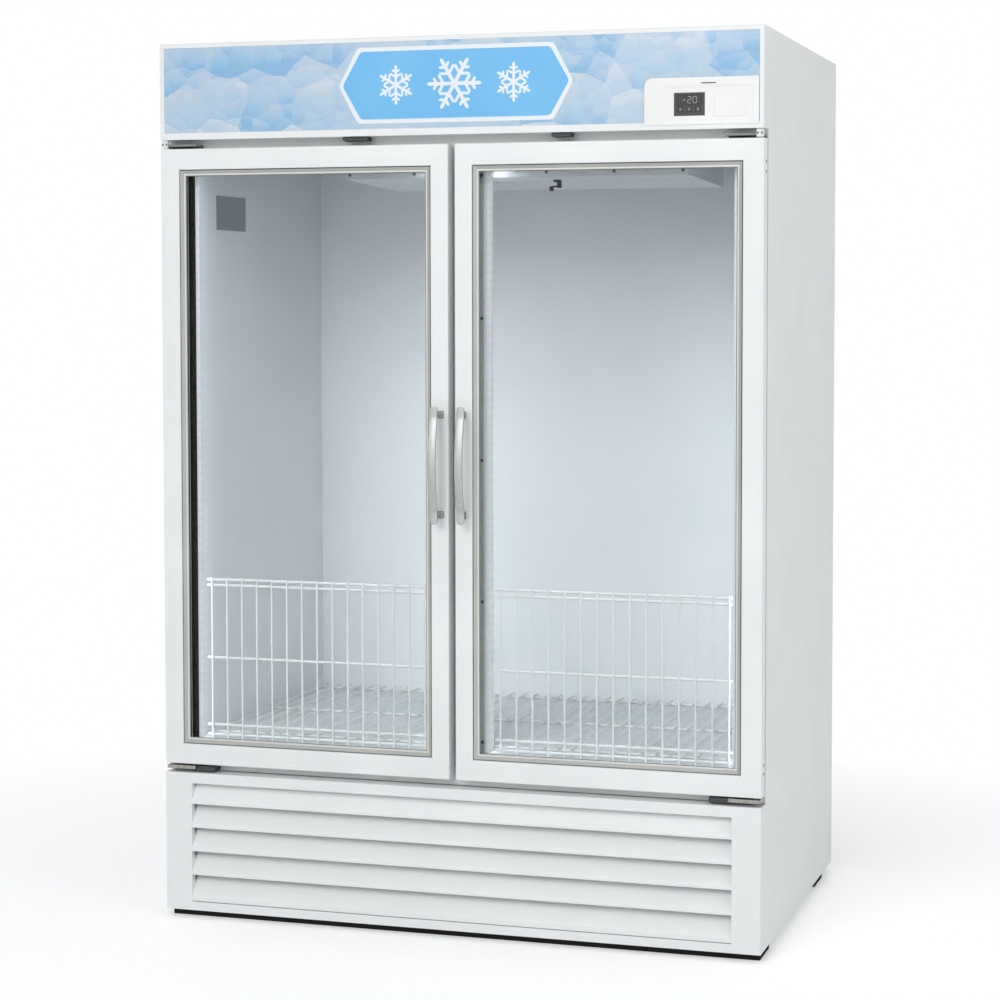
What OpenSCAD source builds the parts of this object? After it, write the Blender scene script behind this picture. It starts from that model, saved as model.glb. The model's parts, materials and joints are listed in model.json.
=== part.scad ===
// Ice merchandiser freezer with two glass doors, a lit sign header and the machine bay below.
// Millimetres, +Z up, front faces -Y, +X to the right. The origin is at the centre of the floor
// space that the freezer takes up, handles included. Depths named d run back from the front plane.

/* [Cabinet] */
// Width over the side panels
body_w = 1386; // [1200:1:1600]
// Depth from the front plane to the back edge, without the handles
body_d = 880; // [780:1:1000]
// Height from the floor to the top
body_h = 1988; // [1900:1:2200]
// Thickness of the cabinet's sheet steel
sheet_t = 1; // [0.8:0.1:1.5]
// Thickness of the insulated side walls, sheets included
side_wall_t = 53; // [45:1:70]
// Thickness of the insulated back wall, sheets included
back_wall_t = 52; // [45:1:80]
// Thickness of the insulated ceiling, sheets included
ceiling_t = 62; // [50:1:90]
// Thickness of the insulated floor, sheets included
floor_t = 70; // [50:1:90]
// Depth of the insulated wall behind the header
front_wall_t = 61; // [40:1:90]

/* [Base and machine bay] */
// Height of the base rails
rail_h = 18; // [12:1:40]
// Depth of a base rail
rail_d = 100; // [60:1:140]
// Wall of a base rail
rail_wall = 2.5; // [1.5:0.1:4]
// Inset of the rails from the sides
rail_inset = 6; // [2:1:60]
// Inset of the rails from front and back
rail_setback = 24; // [10:1:80]
// Distance of the rear rail in front of the cabinet's back
rail_back = 100; // [20:1:160]
// Thickness of the base pan
base_pan_t = 2; // [1:0.1:4]
// Top edge of the lower front panel
lower_top = 335; // [300:1:400]
// Recess of the rear cover
rear_cover_inset = 17; // [14:1:40]

/* [Louvre] */
// Thickness of the front panel and louvre sheet
panel_t = 1.2; // [0.8:0.1:2]
// Width of the post on each side of the louvre
post_w = 64; // [40:1:120]
// Height of the strip above the louvre
louvre_top_strip = 24; // [15:1:50]
// Height of the strip below the louvre
louvre_bottom_strip = 20; // [10:1:50]
// Number of slats
slat_count = 5; // [4:1:6]
// Depth of the louvre from front to back
slat_d = 30; // [26:1:40]
// Depth of the folded edge round the louvre window
return_d = 18; // [10:1:20]
// Upright lip at the front of each slat
slat_lip = 7; // [3:0.5:10]
// Open gap above each slat
slat_gap = 3.6; // [3:0.2:20]

/* [Header] */
// Height of the header
header_h = 215; // [190:1:260]
// Width of the header frame at the sides
header_side = 10; // [6:1:20]
// Height of the header frame above the sign
header_top = 10; // [6:1:20]
// Height of the header frame below the sign
header_bottom = 15; // [10:1:25]
// Thickness of the sign panel
sign_t = 3; // [2:0.5:5]
// Height of the sign lamp
lamp_h = 20; // [15:1:30]

/* [Controller] */
// Width of the controller bezel
bezel_w = 248; // [230:1:280]
// Height of the controller bezel
bezel_h = 100; // [90:1:110]
// Distance that the bezel stands proud
bezel_proud = 3; // [1:0.5:4]
// Radius of the bezel's free corner
bezel_r = 18; // [8:1:24]
// Width of the display
display_w = 67; // [60:1:76]
// Height of the display
display_h = 49; // [44:1:54]
// Width of a key
key_w = 11; // [8:0.5:13]
// Height of a key
key_h = 12; // [8:0.5:14]
// Distance between keys
key_pitch = 19; // [16:0.5:22]
// Travel of a key
key_travel = 0.8; // [0.5:0.1:1.2]
// Width of the blanking cover
blank_w = 71; // [60:1:80]
// Height of the blanking cover
blank_h = 53; // [40:1:60]

/* [Doors] */
// Thickness of a door frame
door_t = 36; // [32:1:44]
// Depth of the gasket between door and cabinet
gasket_t = 10; // [8:0.5:14]
// Width of the gasket
gasket_w = 16; // [12:1:20]
// Gap between the two doors
door_gap = 15.5; // [8:0.5:20]
// Gap above and below the doors
door_gap_v = 20; // [16:1:30]
// Width of the stile at the hinge side
hinge_stile_w = 45; // [40:1:70]
// Width of the stile at the handle side
handle_stile_w = 40; // [36:1:70]
// Height of the top and bottom frame profiles
door_rail_w = 47; // [40:1:70]
// Wall of the frame profiles
profile_wall = 2; // [1.5:0.1:3]
// Width of the glazing bead
bead_w = 14.5; // [10:0.5:20]
// Thickness of the glazing bead
bead_t = 2.5; // [1.5:0.5:3]
// Recess of the bead behind the door's front
bead_recess = 7; // [3:0.5:8]
// Thickness of a glass pane
glass_t = 4; // [3:0.5:4]
// Thickness of the spacer between panes
spacer_t = 6; // [5:0.5:6]
// Width of the spacer that shows inside the bead
spacer_show = 1; // [0:0.5:8]

/* [Hinges] */
// Distance from the door's side edge to the hinge pin
pin_inset = 17; // [16:0.5:22]
// Radius of the hinge pin
pin_r = 5; // [4:0.5:6]
// Running clearance of the pin in its bush
pin_clear = 0.05; // [0.02:0.01:0.1]
// Thickness of a hinge plate
hinge_t = 5; // [4:0.5:6]
// Height of the bottom hinge plates
bottom_hinge_t = 8; // [5:0.5:9]
// Width of a bottom hinge plate
bottom_hinge_w = 70; // [50:1:90]
// Width of a top hinge plate
top_hinge_w = 82; // [50:1:100]
// Width of the stop block beside a bottom hinge plate
stop_w = 44; // [30:1:70]

/* [Handles] */
// Distance that the handles stand out from the doors
handle_out = 48; // [40:1:70]
// Overall length of a handle
handle_len = 258; // [200:1:400]
// Width of the handle bar
handle_w = 18; // [14:1:24]
// Thickness of the handle bar
handle_t = 6; // [4:0.5:8]
// Rise of the bow at its middle
handle_bow = 14; // [8:1:20]
// Height of the handle's middle above the floor
handle_z = 1052; // [800:1:1300]
// Distance from the door's edge to the handle's middle
handle_inset = 23; // [14:1:26]
// Width of a handle foot
foot_w = 16; // [14:1:18]
// Offset of the handle's feet towards the door's edge
foot_shift = 5; // [0:0.5:6]
// Distance of a foot's middle from the handle's end
foot_in = 19; // [16:1:22]

/* [Mullion and lamps] */
// Width of the centre mullion
mullion_w = 124; // [110:1:160]
// Depth of the centre mullion
mullion_d = 64; // [50:1:90]
// Number of screws down each side of the mullion
mullion_screws = 5; // [3:1:8]
// Width of a side lamp housing
side_lamp_w = 26; // [20:1:34]
// Depth of a side lamp housing
side_lamp_d = 20; // [14:1:30]
// Width of a lamp's light strip
lens_w = 10; // [4:0.5:14]

/* [Evaporator] */
// Width of the evaporator cover
evap_w = 795; // [700:1:900]
// Gap between the evaporator cover's right end and the cavity's wall
evap_side = 135.5; // [115:0.5:240]
// Depth of the evaporator cover
evap_d = 350; // [300:1:450]
// Lowest edge of the cover above the door opening's top, downwards
evap_drop = 43; // [30:1:80]
// Rise of the cover's underside towards the front
evap_slope = 12; // [0:1:30]
// Radius of an evaporator fan
evap_fan_r = 92; // [75:1:95]
// Distance of each evaporator fan from the cover's middle
evap_fan_x = 188; // [150:1:220]

/* [Machine parts] */
// Radius of the condenser fan
cond_fan_r = 120; // [100:1:125]
// Width of the condenser coil
cond_w = 520; // [400:1:600]
// Height of the condenser coil
cond_h = 270; // [240:1:285]
// Depth of the condenser coil
cond_d = 70; // [50:1:90]
// Spacing of the coil fins
fin_pitch = 9; // [7:1:15]
// Thickness of a coil fin
fin_t = 1; // [0.6:0.1:1.5]
// Radius of the compressor shell
comp_r = 78; // [60:1:90]
// Height of the compressor shell
comp_h = 165; // [120:1:190]
// Radius of a motor shaft
shaft_r = 4; // [3:0.5:5]
// Running clearance of a fan hub on its shaft
shaft_clear = 0.05; // [0.02:0.01:0.1]
// Radius of the suction line
suction_r = 8; // [6:0.5:10]
// Radius of the liquid line
liquid_r = 4.5; // [3:0.5:6]
// Radius of the drain tube
drain_r = 10; // [8:0.5:12]

/* [Wire guards and racks] */
// Height of a wire guard
guard_h = 371; // [250:1:500]
// Distance of the guards behind the cabinet face
guard_back = 30; // [24:1:60]
// Spacing of the guard's upright wires
guard_pitch = 37; // [25:1:60]
// Radius of the thin wires
wire_r = 2.2; // [1.5:0.1:2.8]
// Radius of the rail wires
rail_wire_r = 3.2; // [2.5:0.1:4]
// Spacing of the rack's wires
rack_pitch = 32; // [25:1:60]

/* [Small parts] */
// Width of the notice plate on the left wall
notice_w = 166; // [80:1:250]
// Height of the notice plate
notice_h = 80; // [40:1:120]
// Distance of the notice plate behind the front plane
notice_d = 184; // [120:1:300]
// Width of the control box
control_w = 130; // [90:1:180]
// Depth of the control box
control_d = 130; // [90:1:160]
// Height of the control box
control_h = 180; // [120:1:230]
// Wall of the control box
control_wall = 1.2; // [0.8:0.1:2]
// Width of the drain pan
pan_w = 360; // [250:1:400]
// Depth of the drain pan
pan_d = 246; // [150:1:260]
// Height of the drain pan
pan_h = 60; // [40:1:75]
// Wall of the drain pan
pan_wall = 2; // [1:0.1:3]

/* [Hidden] */
$fn = 48;

white_paint = "#eef0f0";
grey_metal = "#a9acab";
steel = "#b8b6ae";
black_plastic = "#1c1c1c";
copper = "#b8693d";
fit_gap = 0.3; // play between pieces that move past each other
edge_gap = 1; // play round the glass units
cut = 1; // overrun of a cutting shape

front_y = handle_out - (body_d + handle_out) / 2;
half_w = body_w / 2;
in_w = half_w - sheet_t; // inner face of the side panels
face_d = door_t + gasket_t;
header_z = body_h - header_h;
roof_z = body_h - sheet_t;
door_z0 = lower_top + door_gap_v;
door_z1 = header_z - door_gap_v;

// cavity
cav_x = half_w - side_wall_t;
cav_d = body_d - back_wall_t;
cav_z0 = lower_top + floor_t;
cav_z1 = body_h - ceiling_t;
open_z1 = door_z1 - 38;
front_wall_d = face_d + front_wall_t;
lamp_x = cav_x + 16; // outer side of the side lamp's rebate
mull_x = mullion_w / 2;

// doors, given for the left one and mirrored for the right one
door_x0 = -half_w;
door_x1 = -door_gap / 2;
pane_x0 = door_x0 + hinge_stile_w;
pane_x1 = door_x1 - handle_stile_w;
pane_z0 = door_z0 + door_rail_w;
pane_z1 = door_z1 - door_rail_w;
back_lip = 8;
glass_d = bead_recess + bead_t;
pin_x = door_x0 + pin_inset;
pin_d = door_t / 2;
bush_depth = 26;
collar_r = pin_r + 3;
gasket_inset = pin_inset + 2;
handle_x = door_x1 - handle_inset;
pad_len = 26;
strap_z = handle_len / 2 - pad_len;
pad_front = handle_out - handle_bow;
bow_r = (strap_z * strap_z + handle_bow * handle_bow) / (2 * handle_bow);
bow_a = asin(strap_z / bow_r);

// header and controller
sign_z0 = header_z + header_bottom;
sign_z1 = body_h - header_top;
sign_x = half_w - header_side;
bezel_x1 = sign_x - 1;
bezel_x0 = bezel_x1 - bezel_w;
bezel_z0 = sign_z0 - 6;
bezel_z1 = bezel_z0 + bezel_h;
display_x0 = bezel_x0 + 65;
display_z0 = bezel_z0 + 19;
blank_x0 = display_x0 + display_w + 20;
blank_z0 = display_z0 - 3;
module_d = 34;
key_z = display_z0 + 14;
key_face = bezel_proud + 0.6;
key_len = key_face + 2;

// louvre
louvre_x = half_w - post_w;
louvre_z0 = rail_h + louvre_bottom_strip;
louvre_z1 = lower_top - louvre_top_strip;
slat_pitch = (louvre_z1 - louvre_z0) / slat_count;

// evaporator
evap_x1 = cav_x - evap_side;
evap_x0 = evap_x1 - evap_w;
evap_x = (evap_x0 + evap_x1) / 2;
suction_x = evap_x1 - 29.5;
drain_x = evap_x0 + 40.5;
evap_z0 = open_z1 - evap_drop;
evap_d0 = front_wall_d + 8;
evap_d1 = evap_d0 + evap_d;
evap_fan_z = cav_z1 - 131;
evap_ring_r = evap_fan_r + 6;
coil_d0 = evap_d0 + 70;
coil_d1 = coil_d0 + 150;
coil_side = 47; // from the cover's ends to the coil
coil_rise = 34; // from the cover up to the coil
coil_drop = 26; // from the ceiling down to the fins
mull_lens_d = face_d + 14; // front of the light strip on the mullion
motor_r = 35;
motor_len = 55;
hub_r = 24;
hub_len = 30;
blade_t = 1.6;
blade_pitch = 28;
evap_hub_d = evap_d1 - 38;

// machine bay
bay_z0 = rail_h + base_pan_t;
bay_z1 = lower_top;
cond_x = -in_w + 462;
cond_d0 = 60;
cond_z = bay_z0 + 152;
shroud_d = cond_d0 + cond_d + 95;
shroud_t = 1.5;
cond_hub_d = shroud_d - 24;
comp_x = suction_x - comp_r - 67;
comp_d = body_d - 320;
comp_foot = 28;
foot_h = 22;
rear_cover_d = body_d - rear_cover_inset;
gland_x = -in_w + 132;
gland_z = bay_z0 + 90;
gland_r = 12;
control_x = -in_w + 97;
control_front = shroud_d + 75;
lid_over = 4;
notice_z = open_z1 - 59 - notice_h;

// racks and guards
weld = 0.8; // depth that crossing wires are sunk into each other
cross_z = cav_z0 + fit_gap + rail_wire_r;
rack_z = cross_z + rail_wire_r + wire_r - weld;
guard_d = face_d + guard_back;
guard_z0 = cav_z0;
guard_in = mull_x + lens_w + 4;
guard_out = cav_x - 20;
rack_in = 6;
rack_out = cav_x - 8;
rack_d0 = face_d + mullion_d + 4;
rack_d1 = cav_d - 15;

// pipes
bend = 30;
wall_pipe_d = cav_d + back_wall_t / 2 - 4;
liquid_x = comp_x + comp_r + comp_foot + 4;
suction_z = cav_z1 - 60;
liquid_z = cav_z1 - 90;
drain_z = evap_z0 + 24;
pan_x = drain_x + pan_w / 2 - 170;
pan_back = rear_cover_d - 17;
stub_x = comp_r + 10;
suction_stub_z = bay_z0 + foot_h + comp_h - 65;
discharge_stub_z = bay_z0 + foot_h + comp_h - 95;
discharge_x = comp_x - comp_r - 60;
cond_end = cond_x + cond_w / 2;
cond_mid = cond_d0 + cond_d / 2;
suction_route = [
    [comp_x + stub_x, comp_d, suction_stub_z], [suction_x, comp_d, suction_stub_z],
    [suction_x, wall_pipe_d, suction_stub_z], [suction_x, wall_pipe_d, suction_z],
    [suction_x, coil_d1, suction_z]
];
liquid_route = [
    [cond_end, cond_mid, bay_z0 + 50], [liquid_x, cond_mid, bay_z0 + 50],
    [liquid_x, wall_pipe_d, bay_z0 + 50], [liquid_x, wall_pipe_d, liquid_z],
    [liquid_x, coil_d1, liquid_z]
];
discharge_route = [
    [comp_x - stub_x, comp_d, discharge_stub_z], [discharge_x, comp_d, discharge_stub_z],
    [discharge_x, cond_mid, discharge_stub_z], [cond_end, cond_mid, discharge_stub_z]
];
drain_route = [
    [drain_x, evap_d1 - 50, drain_z], [drain_x, wall_pipe_d, drain_z],
    [drain_x, wall_pipe_d, bay_z0 + 95]
];

// screws
screw_r = 2;
head_r = 3.5;
head_h = 1.4;
screw_len = 8;
mullion_screw_x = mull_x - 5;
lip_screws = 6;

// ---- shared shapes ----

// a box between two corners; the middle span is a depth behind the front plane
module box(x, d, z) {
    translate([x[0], front_y + d[0], z[0]])
        cube([x[1] - x[0], d[1] - d[0], z[1] - z[0]]);
}

// a flat frame in the XZ plane, round the window win_x by win_z
module ring(x, d, z, win_x, win_z) {
    difference() {
        box(x, d, z);
        box(win_x, [d[0] - cut, d[1] + cut], win_z);
    }
}

// an outline of [depth, height] points, drawn out along X
module along_x(points, x) {
    translate([x[0], front_y, 0])
        rotate([90, 0, 90])
            linear_extrude(x[1] - x[0])
                polygon(points);
}

// a round bar along Y
module bar_y(x, d, z, r) {
    translate([x, front_y + d[0], z])
        rotate([-90, 0, 0])
            cylinder(h = d[1] - d[0], r = r);
}

// a round bar between two points in [x, depth, z]
module rod(a, b, r) {
    run = b - a;
    length = norm(run);
    translate([a[0], front_y + a[1], a[2]])
        rotate([0, acos(run[2] / length), atan2(run[1], run[0])])
            cylinder(h = length, r = r);
}

function unit(v) = v / norm(v);

// a quarter bend at corner p, from direction u to direction v
module elbow(p, u, v, r) {
    c = [p[0], front_y + p[1], p[2]] - u * bend + v * bend;
    w = cross(-v, u);
    multmatrix([
        [-v[0], u[0], w[0], c[0]],
        [-v[1], u[1], w[1], c[1]],
        [-v[2], u[2], w[2], c[2]],
        [0, 0, 0, 1]
    ])
        rotate_extrude(angle = 90)
            translate([bend, 0])
                circle(r);
}

// a pipe through points joined by square corners, each rounded by a quarter bend
module pipe(points, r) {
    last = len(points) - 1;
    for (i = [0 : last - 1]) {
        u = unit(points[i + 1] - points[i]);
        from = points[i] + (i > 0 ? bend : 0) * u;
        to = points[i + 1] - (i < last - 1 ? bend : 0) * u;
        rod(from, to, r);
    }
    for (i = [1 : last - 1])
        elbow(points[i], unit(points[i] - points[i - 1]), unit(points[i + 1] - points[i]), r);
}

module right_hand() {
    mirror([1, 0, 0])
        children();
}

// ---- cabinet ----

module side_panel() {
    color(white_paint)
        along_x([
            [0, rail_h], [body_d, rail_h], [body_d, roof_z], [0, roof_z], [0, header_z],
            [face_d, header_z], [face_d, lower_top], [0, lower_top]
        ], [-half_w, -in_w]);
}

module top_panel() {
    color(white_paint)
        box([-half_w, half_w], [0, body_d], [roof_z, body_h]);
}

module back_panel() {
    color(grey_metal)
        difference() {
            along_x([
                [face_d + sheet_t, lower_top], [body_d, lower_top], [body_d, roof_z],
                [body_d - sheet_t, roof_z], [body_d - sheet_t, lower_top + sheet_t],
                [face_d + sheet_t, lower_top + sheet_t]
            ], [-in_w, in_w]);
            wall_pipes(fit_gap);
        }
}

module cabinet_face() {
    color(white_paint)
        ring([-in_w, in_w], [face_d, face_d + sheet_t], [lower_top, roof_z],
            [-lamp_x, lamp_x], [cav_z0, open_z1]);
}

// side outline of the cavity, grown by the sheet where grow is 1
function cavity_outline(grow) = let (s = grow * sheet_t) [
    [face_d + sheet_t, cav_z0 - s], [cav_d + s, cav_z0 - s], [cav_d + s, cav_z1 + s],
    [front_wall_d - s, cav_z1 + s], [front_wall_d - s, open_z1 + s], [face_d + sheet_t, open_z1 + s]
];

module lamp_rebates() {
    for (side = [-1, 1])
        scale([side, 1, 1])
            box([cav_x - cut, lamp_x], [face_d, face_d + side_lamp_d], [cav_z0, open_z1]);
}

// the three pipes that pass through the insulation; grown a little, they cut their own holes
module wall_pipes(grow) {
    pipe(suction_route, suction_r + grow);
    pipe(liquid_route, liquid_r + grow);
    pipe(drain_route, drain_r + grow);
}

module liner() {
    color(white_paint)
        difference() {
            along_x(cavity_outline(1), [-cav_x - sheet_t, cav_x + sheet_t]);
            along_x(cavity_outline(0), [-cav_x, cav_x]);
            box([-cav_x, cav_x], [face_d, face_d + 2 * sheet_t], [cav_z0, open_z1]);
            lamp_rebates();
            wall_pipes(fit_gap);
        }
}

module foam_insulation() {
    color("#e8dcae")
        difference() {
            box([-in_w, in_w], [face_d + sheet_t, body_d - sheet_t], [lower_top + sheet_t, roof_z]);
            along_x(cavity_outline(1), [-cav_x - sheet_t, cav_x + sheet_t]);
            box([-cav_x, cav_x], [face_d, face_d + 2 * sheet_t], [cav_z0, open_z1]);
            lamp_rebates();
            wall_pipes(fit_gap);
        }
}

module mullion() {
    color("#d9dcdb")
        difference() {
            box([-mull_x, mull_x], [face_d, face_d + mullion_d], [cav_z0, open_z1]);
            box([-mull_x + 2, mull_x - 2], [face_d + 2, face_d + mullion_d - 2],
                [cav_z0 - cut, open_z1 + cut]);
            for (x = [-mullion_screw_x, mullion_screw_x], z = mullion_screw_z())
                bar_y(x, [face_d - cut, face_d + 3], z, screw_r + 0.1);
        }
}

function mullion_screw_z() = [
    for (i = [0 : mullion_screws - 1])
        cav_z0 + 30 + i * (open_z1 - cav_z0 - 60) / (mullion_screws - 1)
];

// ---- base and bay ----

module base_pan() {
    color(grey_metal)
        box([-in_w, in_w], [panel_t, rear_cover_d + 8], [rail_h, bay_z0]);
}

module base_rails() {
    rail_x = half_w - rail_inset;
    color(black_plastic)
        for (d0 = [rail_setback, body_d - rail_back - rail_d])
            difference() {
                box([-rail_x, rail_x], [d0, d0 + rail_d], [0, rail_h]);
                box([-rail_x - cut, rail_x + cut], [d0 + rail_wall, d0 + rail_d - rail_wall],
                    [rail_wall, rail_h - rail_wall]);
            }
}

module front_panel() {
    color(white_paint) {
        ring([-in_w, in_w], [0, panel_t], [rail_h, lower_top],
            [-louvre_x, louvre_x], [louvre_z0, louvre_z1]);
        ring([-louvre_x - panel_t, louvre_x + panel_t], [panel_t, return_d],
            [louvre_z0 - panel_t, louvre_z1 + panel_t],
            [-louvre_x, louvre_x], [louvre_z0, louvre_z1]);
        box([-in_w, in_w], [panel_t, face_d - 6], [lower_top - panel_t, lower_top]);
    }
}

// one slat, a bent sheet: an upright lip at the front, then a blade that rises to the back
function slat_outline(z) = let (top = z + slat_pitch - slat_gap + panel_t) [
    [1, z], [1 + panel_t, z], [1 + panel_t, z + slat_lip - panel_t / 3],
    [slat_d - 1, top - 2 * panel_t], [slat_d - 1, top], [1, z + slat_lip]
];

module louvre_slats() {
    color(white_paint)
        for (i = [0 : slat_count - 1])
            along_x(slat_outline(louvre_z0 + slat_lip + i * slat_pitch), [-louvre_x, louvre_x]);
}

module rear_vent_cover() {
    slot_w = 170;
    slot_h = 6;
    rows = 9;
    color(grey_metal)
        difference() {
            box([-in_w, in_w], [rear_cover_d, rear_cover_d + 1.2], [bay_z0, bay_z1]);
            for (col = [-1, 0, 1, 2], row = [0 : rows - 1])
                box([col * 220 - slot_w / 2, col * 220 + slot_w / 2],
                    [rear_cover_d - cut, rear_cover_d + 2 * cut],
                    [bay_z0 + 90 + row * 18, bay_z0 + 90 + row * 18 + slot_h]);
            bar_y(gland_x, [rear_cover_d - cut, rear_cover_d + 2 * cut], gland_z, gland_r);
        }
}

// ---- header ----

module header_frame() {
    color(white_paint) {
        difference() {
            ring([-in_w, in_w], [0, panel_t], [header_z, roof_z],
                [-sign_x, sign_x], [sign_z0, sign_z1]);
            box([bezel_x0 + 6, bezel_x1 - 6], [-cut, panel_t + cut], [bezel_z0 + 4, bezel_z1 - 6]);
        }
        box([-in_w, in_w], [panel_t, face_d], [header_z, header_z + panel_t]);
    }
}

module sign_panel() {
    color("#9cc8ea")
        difference() {
            box([-in_w + 4, in_w - 4], [panel_t, panel_t + sign_t], [header_z + 6, roof_z - 4]);
            box([bezel_x0 + 6, bezel_x1 - 6], [0, panel_t + sign_t + cut],
                [bezel_z0 + 4, bezel_z1 - 6]);
        }
}

module sign_lamp() {
    mid = (sign_z0 + sign_z1) / 2;
    half = sign_x - 83;
    back = face_d - 10;
    color("#f6f4ea") {
        box([-half, half], [back - 12, back], [mid - lamp_h / 2, mid + lamp_h / 2]);
        for (x = [80 - half, 0, half - 80])
            box([x - 12, x + 12], [back, face_d], [mid - 8, mid + 8]);
    }
}

module bezel_outline(d) {
    box([bezel_x0 + bezel_r, bezel_x1], d, [bezel_z0, bezel_z1]);
    box([bezel_x0, bezel_x0 + bezel_r + cut], d, [bezel_z0, bezel_z1 - bezel_r]);
    bar_y(bezel_x0 + bezel_r, d, bezel_z1 - bezel_r, bezel_r);
}

module controller_bezel() {
    color("#f2f2f2")
        difference() {
            union() {
                difference() {
                    bezel_outline([-bezel_proud, 0]);
                    box([bezel_x0 + 39, bezel_x1 - 8], [-bezel_proud - cut, -bezel_proud + 1],
                        [bezel_z0 + 5, bezel_z1 - 18]);
                }
                ring([bezel_x0 + 6, bezel_x1 - 6], [0, 12], [bezel_z0 + 4, bezel_z1 - 6],
                    [bezel_x0 + 9, bezel_x1 - 9], [bezel_z0 + 7, bezel_z1 - 9]);
            }
            box([display_x0, display_x0 + display_w], [-bezel_proud - cut, cut],
                [display_z0, display_z0 + display_h]);
            box([blank_x0 + 3, blank_x0 + blank_w - 3], [-bezel_proud - cut, cut],
                [blank_z0 + 3, blank_z0 + blank_h - 3]);
            box([display_x0 + 58, display_x0 + 91], [-bezel_proud - cut, -bezel_proud + 0.8],
                [bezel_z1 - 14, bezel_z1 - 11.5]);
        }
}

function key_x(i) = display_x0 + display_w / 2 + (i - 1) * key_pitch;

module controller() {
    wall = 2.5;
    color("#3a3a3c")
        difference() {
            box([display_x0, display_x0 + display_w], [-bezel_proud + 0.6, module_d],
                [display_z0, display_z0 + display_h]);
            for (i = [0 : 2])
                box([key_x(i) - key_w / 2 - fit_gap, key_x(i) + key_w / 2 + fit_gap],
                    [-bezel_proud - cut, key_len - key_face + key_travel + fit_gap],
                    [key_z - key_h / 2 - fit_gap, key_z + key_h / 2 + fit_gap]);
            box([display_x0 + wall, display_x0 + display_w - wall], [6, module_d - wall],
                [display_z0 + wall, display_z0 + display_h - wall]);
        }
}

module key(i) {
    color("#55585a")
        box([key_x(i) - key_w / 2, key_x(i) + key_w / 2], [-key_face, key_len - key_face],
            [key_z - key_h / 2, key_z + key_h / 2]);
}

module blanking_cover() {
    color("#f2f2f2") {
        box([blank_x0, blank_x0 + blank_w], [-bezel_proud - 1, -bezel_proud + 1],
            [blank_z0, blank_z0 + blank_h]);
        box([blank_x0 + 3, blank_x0 + blank_w - 3], [-bezel_proud + 1, 4],
            [blank_z0 + 3, blank_z0 + blank_h - 3]);
    }
}

// ---- hinges ----

module hinge_plate(w, t, z, pin_z, leaf_z) {
    box([-half_w + 3, -half_w + 3 + w], [2, face_d], [z, z + t]);
    box([-half_w + 3, -half_w + 3 + w], [face_d - 2.5, face_d], leaf_z);
    translate([pin_x, front_y + pin_d, pin_z[0]])
        cylinder(h = pin_z[1] - pin_z[0], r = pin_r);
}

module left_top_hinge() {
    z = door_z1 + 5;
    hinge_plate(top_hinge_w, hinge_t, z, [door_z1 - bush_depth + 2, z + cut], [door_z1 - 15, z + cut]);
}

module left_bottom_hinge() {
    z = door_z0 - 4 - bottom_hinge_t;
    top = z + bottom_hinge_t - cut;
    hinge_plate(bottom_hinge_w, bottom_hinge_t, z, [top, door_z0 + bush_depth - 2],
        [top, door_z0 + 15]);
}

module top_hinges() {
    color(steel) {
        left_top_hinge();
        right_hand()
            left_top_hinge();
    }
}

module bottom_hinges() {
    color(steel) {
        left_bottom_hinge();
        right_hand()
            left_bottom_hinge();
    }
}

module hinge_stops() {
    x0 = -half_w + 3 + bottom_hinge_w;
    color(black_plastic)
        for (side = [-1, 1])
            scale([-side, 1, 1])
                box([x0, x0 + stop_w], [10, face_d], [door_z0 - 17, door_z0 - 5]);
}

// ---- doors ----

// hollow profiles all round, with a thin lip behind the glass; the window is the glass unit's
module left_door_frame() {
    color(white_paint)
        difference() {
            union() {
                ring([door_x0, door_x1], [0, door_t], [door_z0, door_z1],
                    [pane_x0, pane_x1], [pane_z0, pane_z1]);
                ring([door_x0 + profile_wall, door_x1 - profile_wall], [door_t - profile_wall, door_t],
                    [door_z0 + profile_wall, door_z1 - profile_wall],
                    [pane_x0 + back_lip, pane_x1 - back_lip], [pane_z0 + back_lip, pane_z1 - back_lip]);
            }
            ring([door_x0 + profile_wall, door_x1 - profile_wall],
                [profile_wall, door_t - profile_wall],
                [door_z0 + profile_wall, door_z1 - profile_wall],
                [pane_x0 - profile_wall, pane_x1 + profile_wall],
                [pane_z0 - profile_wall, pane_z1 + profile_wall]);
            for (z = [door_z0, door_z1 - profile_wall])
                translate([pin_x, front_y + pin_d, z - cut])
                    cylinder(h = profile_wall + 2 * cut, r = collar_r);
        }
}

// a hinge bush: a block inside the frame's corner with a collar through its end wall
module left_door_bushes() {
    color("#d8d8d2")
        for (top = [0, 1]) {
            end_z = top == 1 ? door_z1 : door_z0;
            way = top == 1 ? -1 : 1;
            translate([pin_x, front_y + pin_d, end_z])
                scale([1, 1, way])
                    difference() {
                        union() {
                            translate([-pin_inset + profile_wall, -pin_d + profile_wall, profile_wall])
                                cube([hinge_stile_w - 2 * profile_wall, door_t - 2 * profile_wall, 32]);
                            cylinder(h = profile_wall + cut, r = collar_r);
                        }
                        translate([0, 0, -cut])
                            cylinder(h = bush_depth + cut, r = pin_r + pin_clear);
                    }
        }
}

module left_door_glass() {
    color("#dfeef4", 0.35)
        for (i = [0 : 2])
            box([pane_x0 + edge_gap, pane_x1 - edge_gap],
                [glass_d + i * (glass_t + spacer_t), glass_d + i * (glass_t + spacer_t) + glass_t],
                [pane_z0 + edge_gap, pane_z1 - edge_gap]);
}

module left_door_spacers() {
    seal = 4;
    inner = bead_w + spacer_show;
    color("#cfcdc4")
        for (i = [0 : 1])
            ring([pane_x0 + seal, pane_x1 - seal],
                [glass_d + glass_t + i * (glass_t + spacer_t),
                    glass_d + (i + 1) * (glass_t + spacer_t)],
                [pane_z0 + seal, pane_z1 - seal],
                [pane_x0 + inner, pane_x1 - inner], [pane_z0 + inner, pane_z1 - inner]);
}

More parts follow.
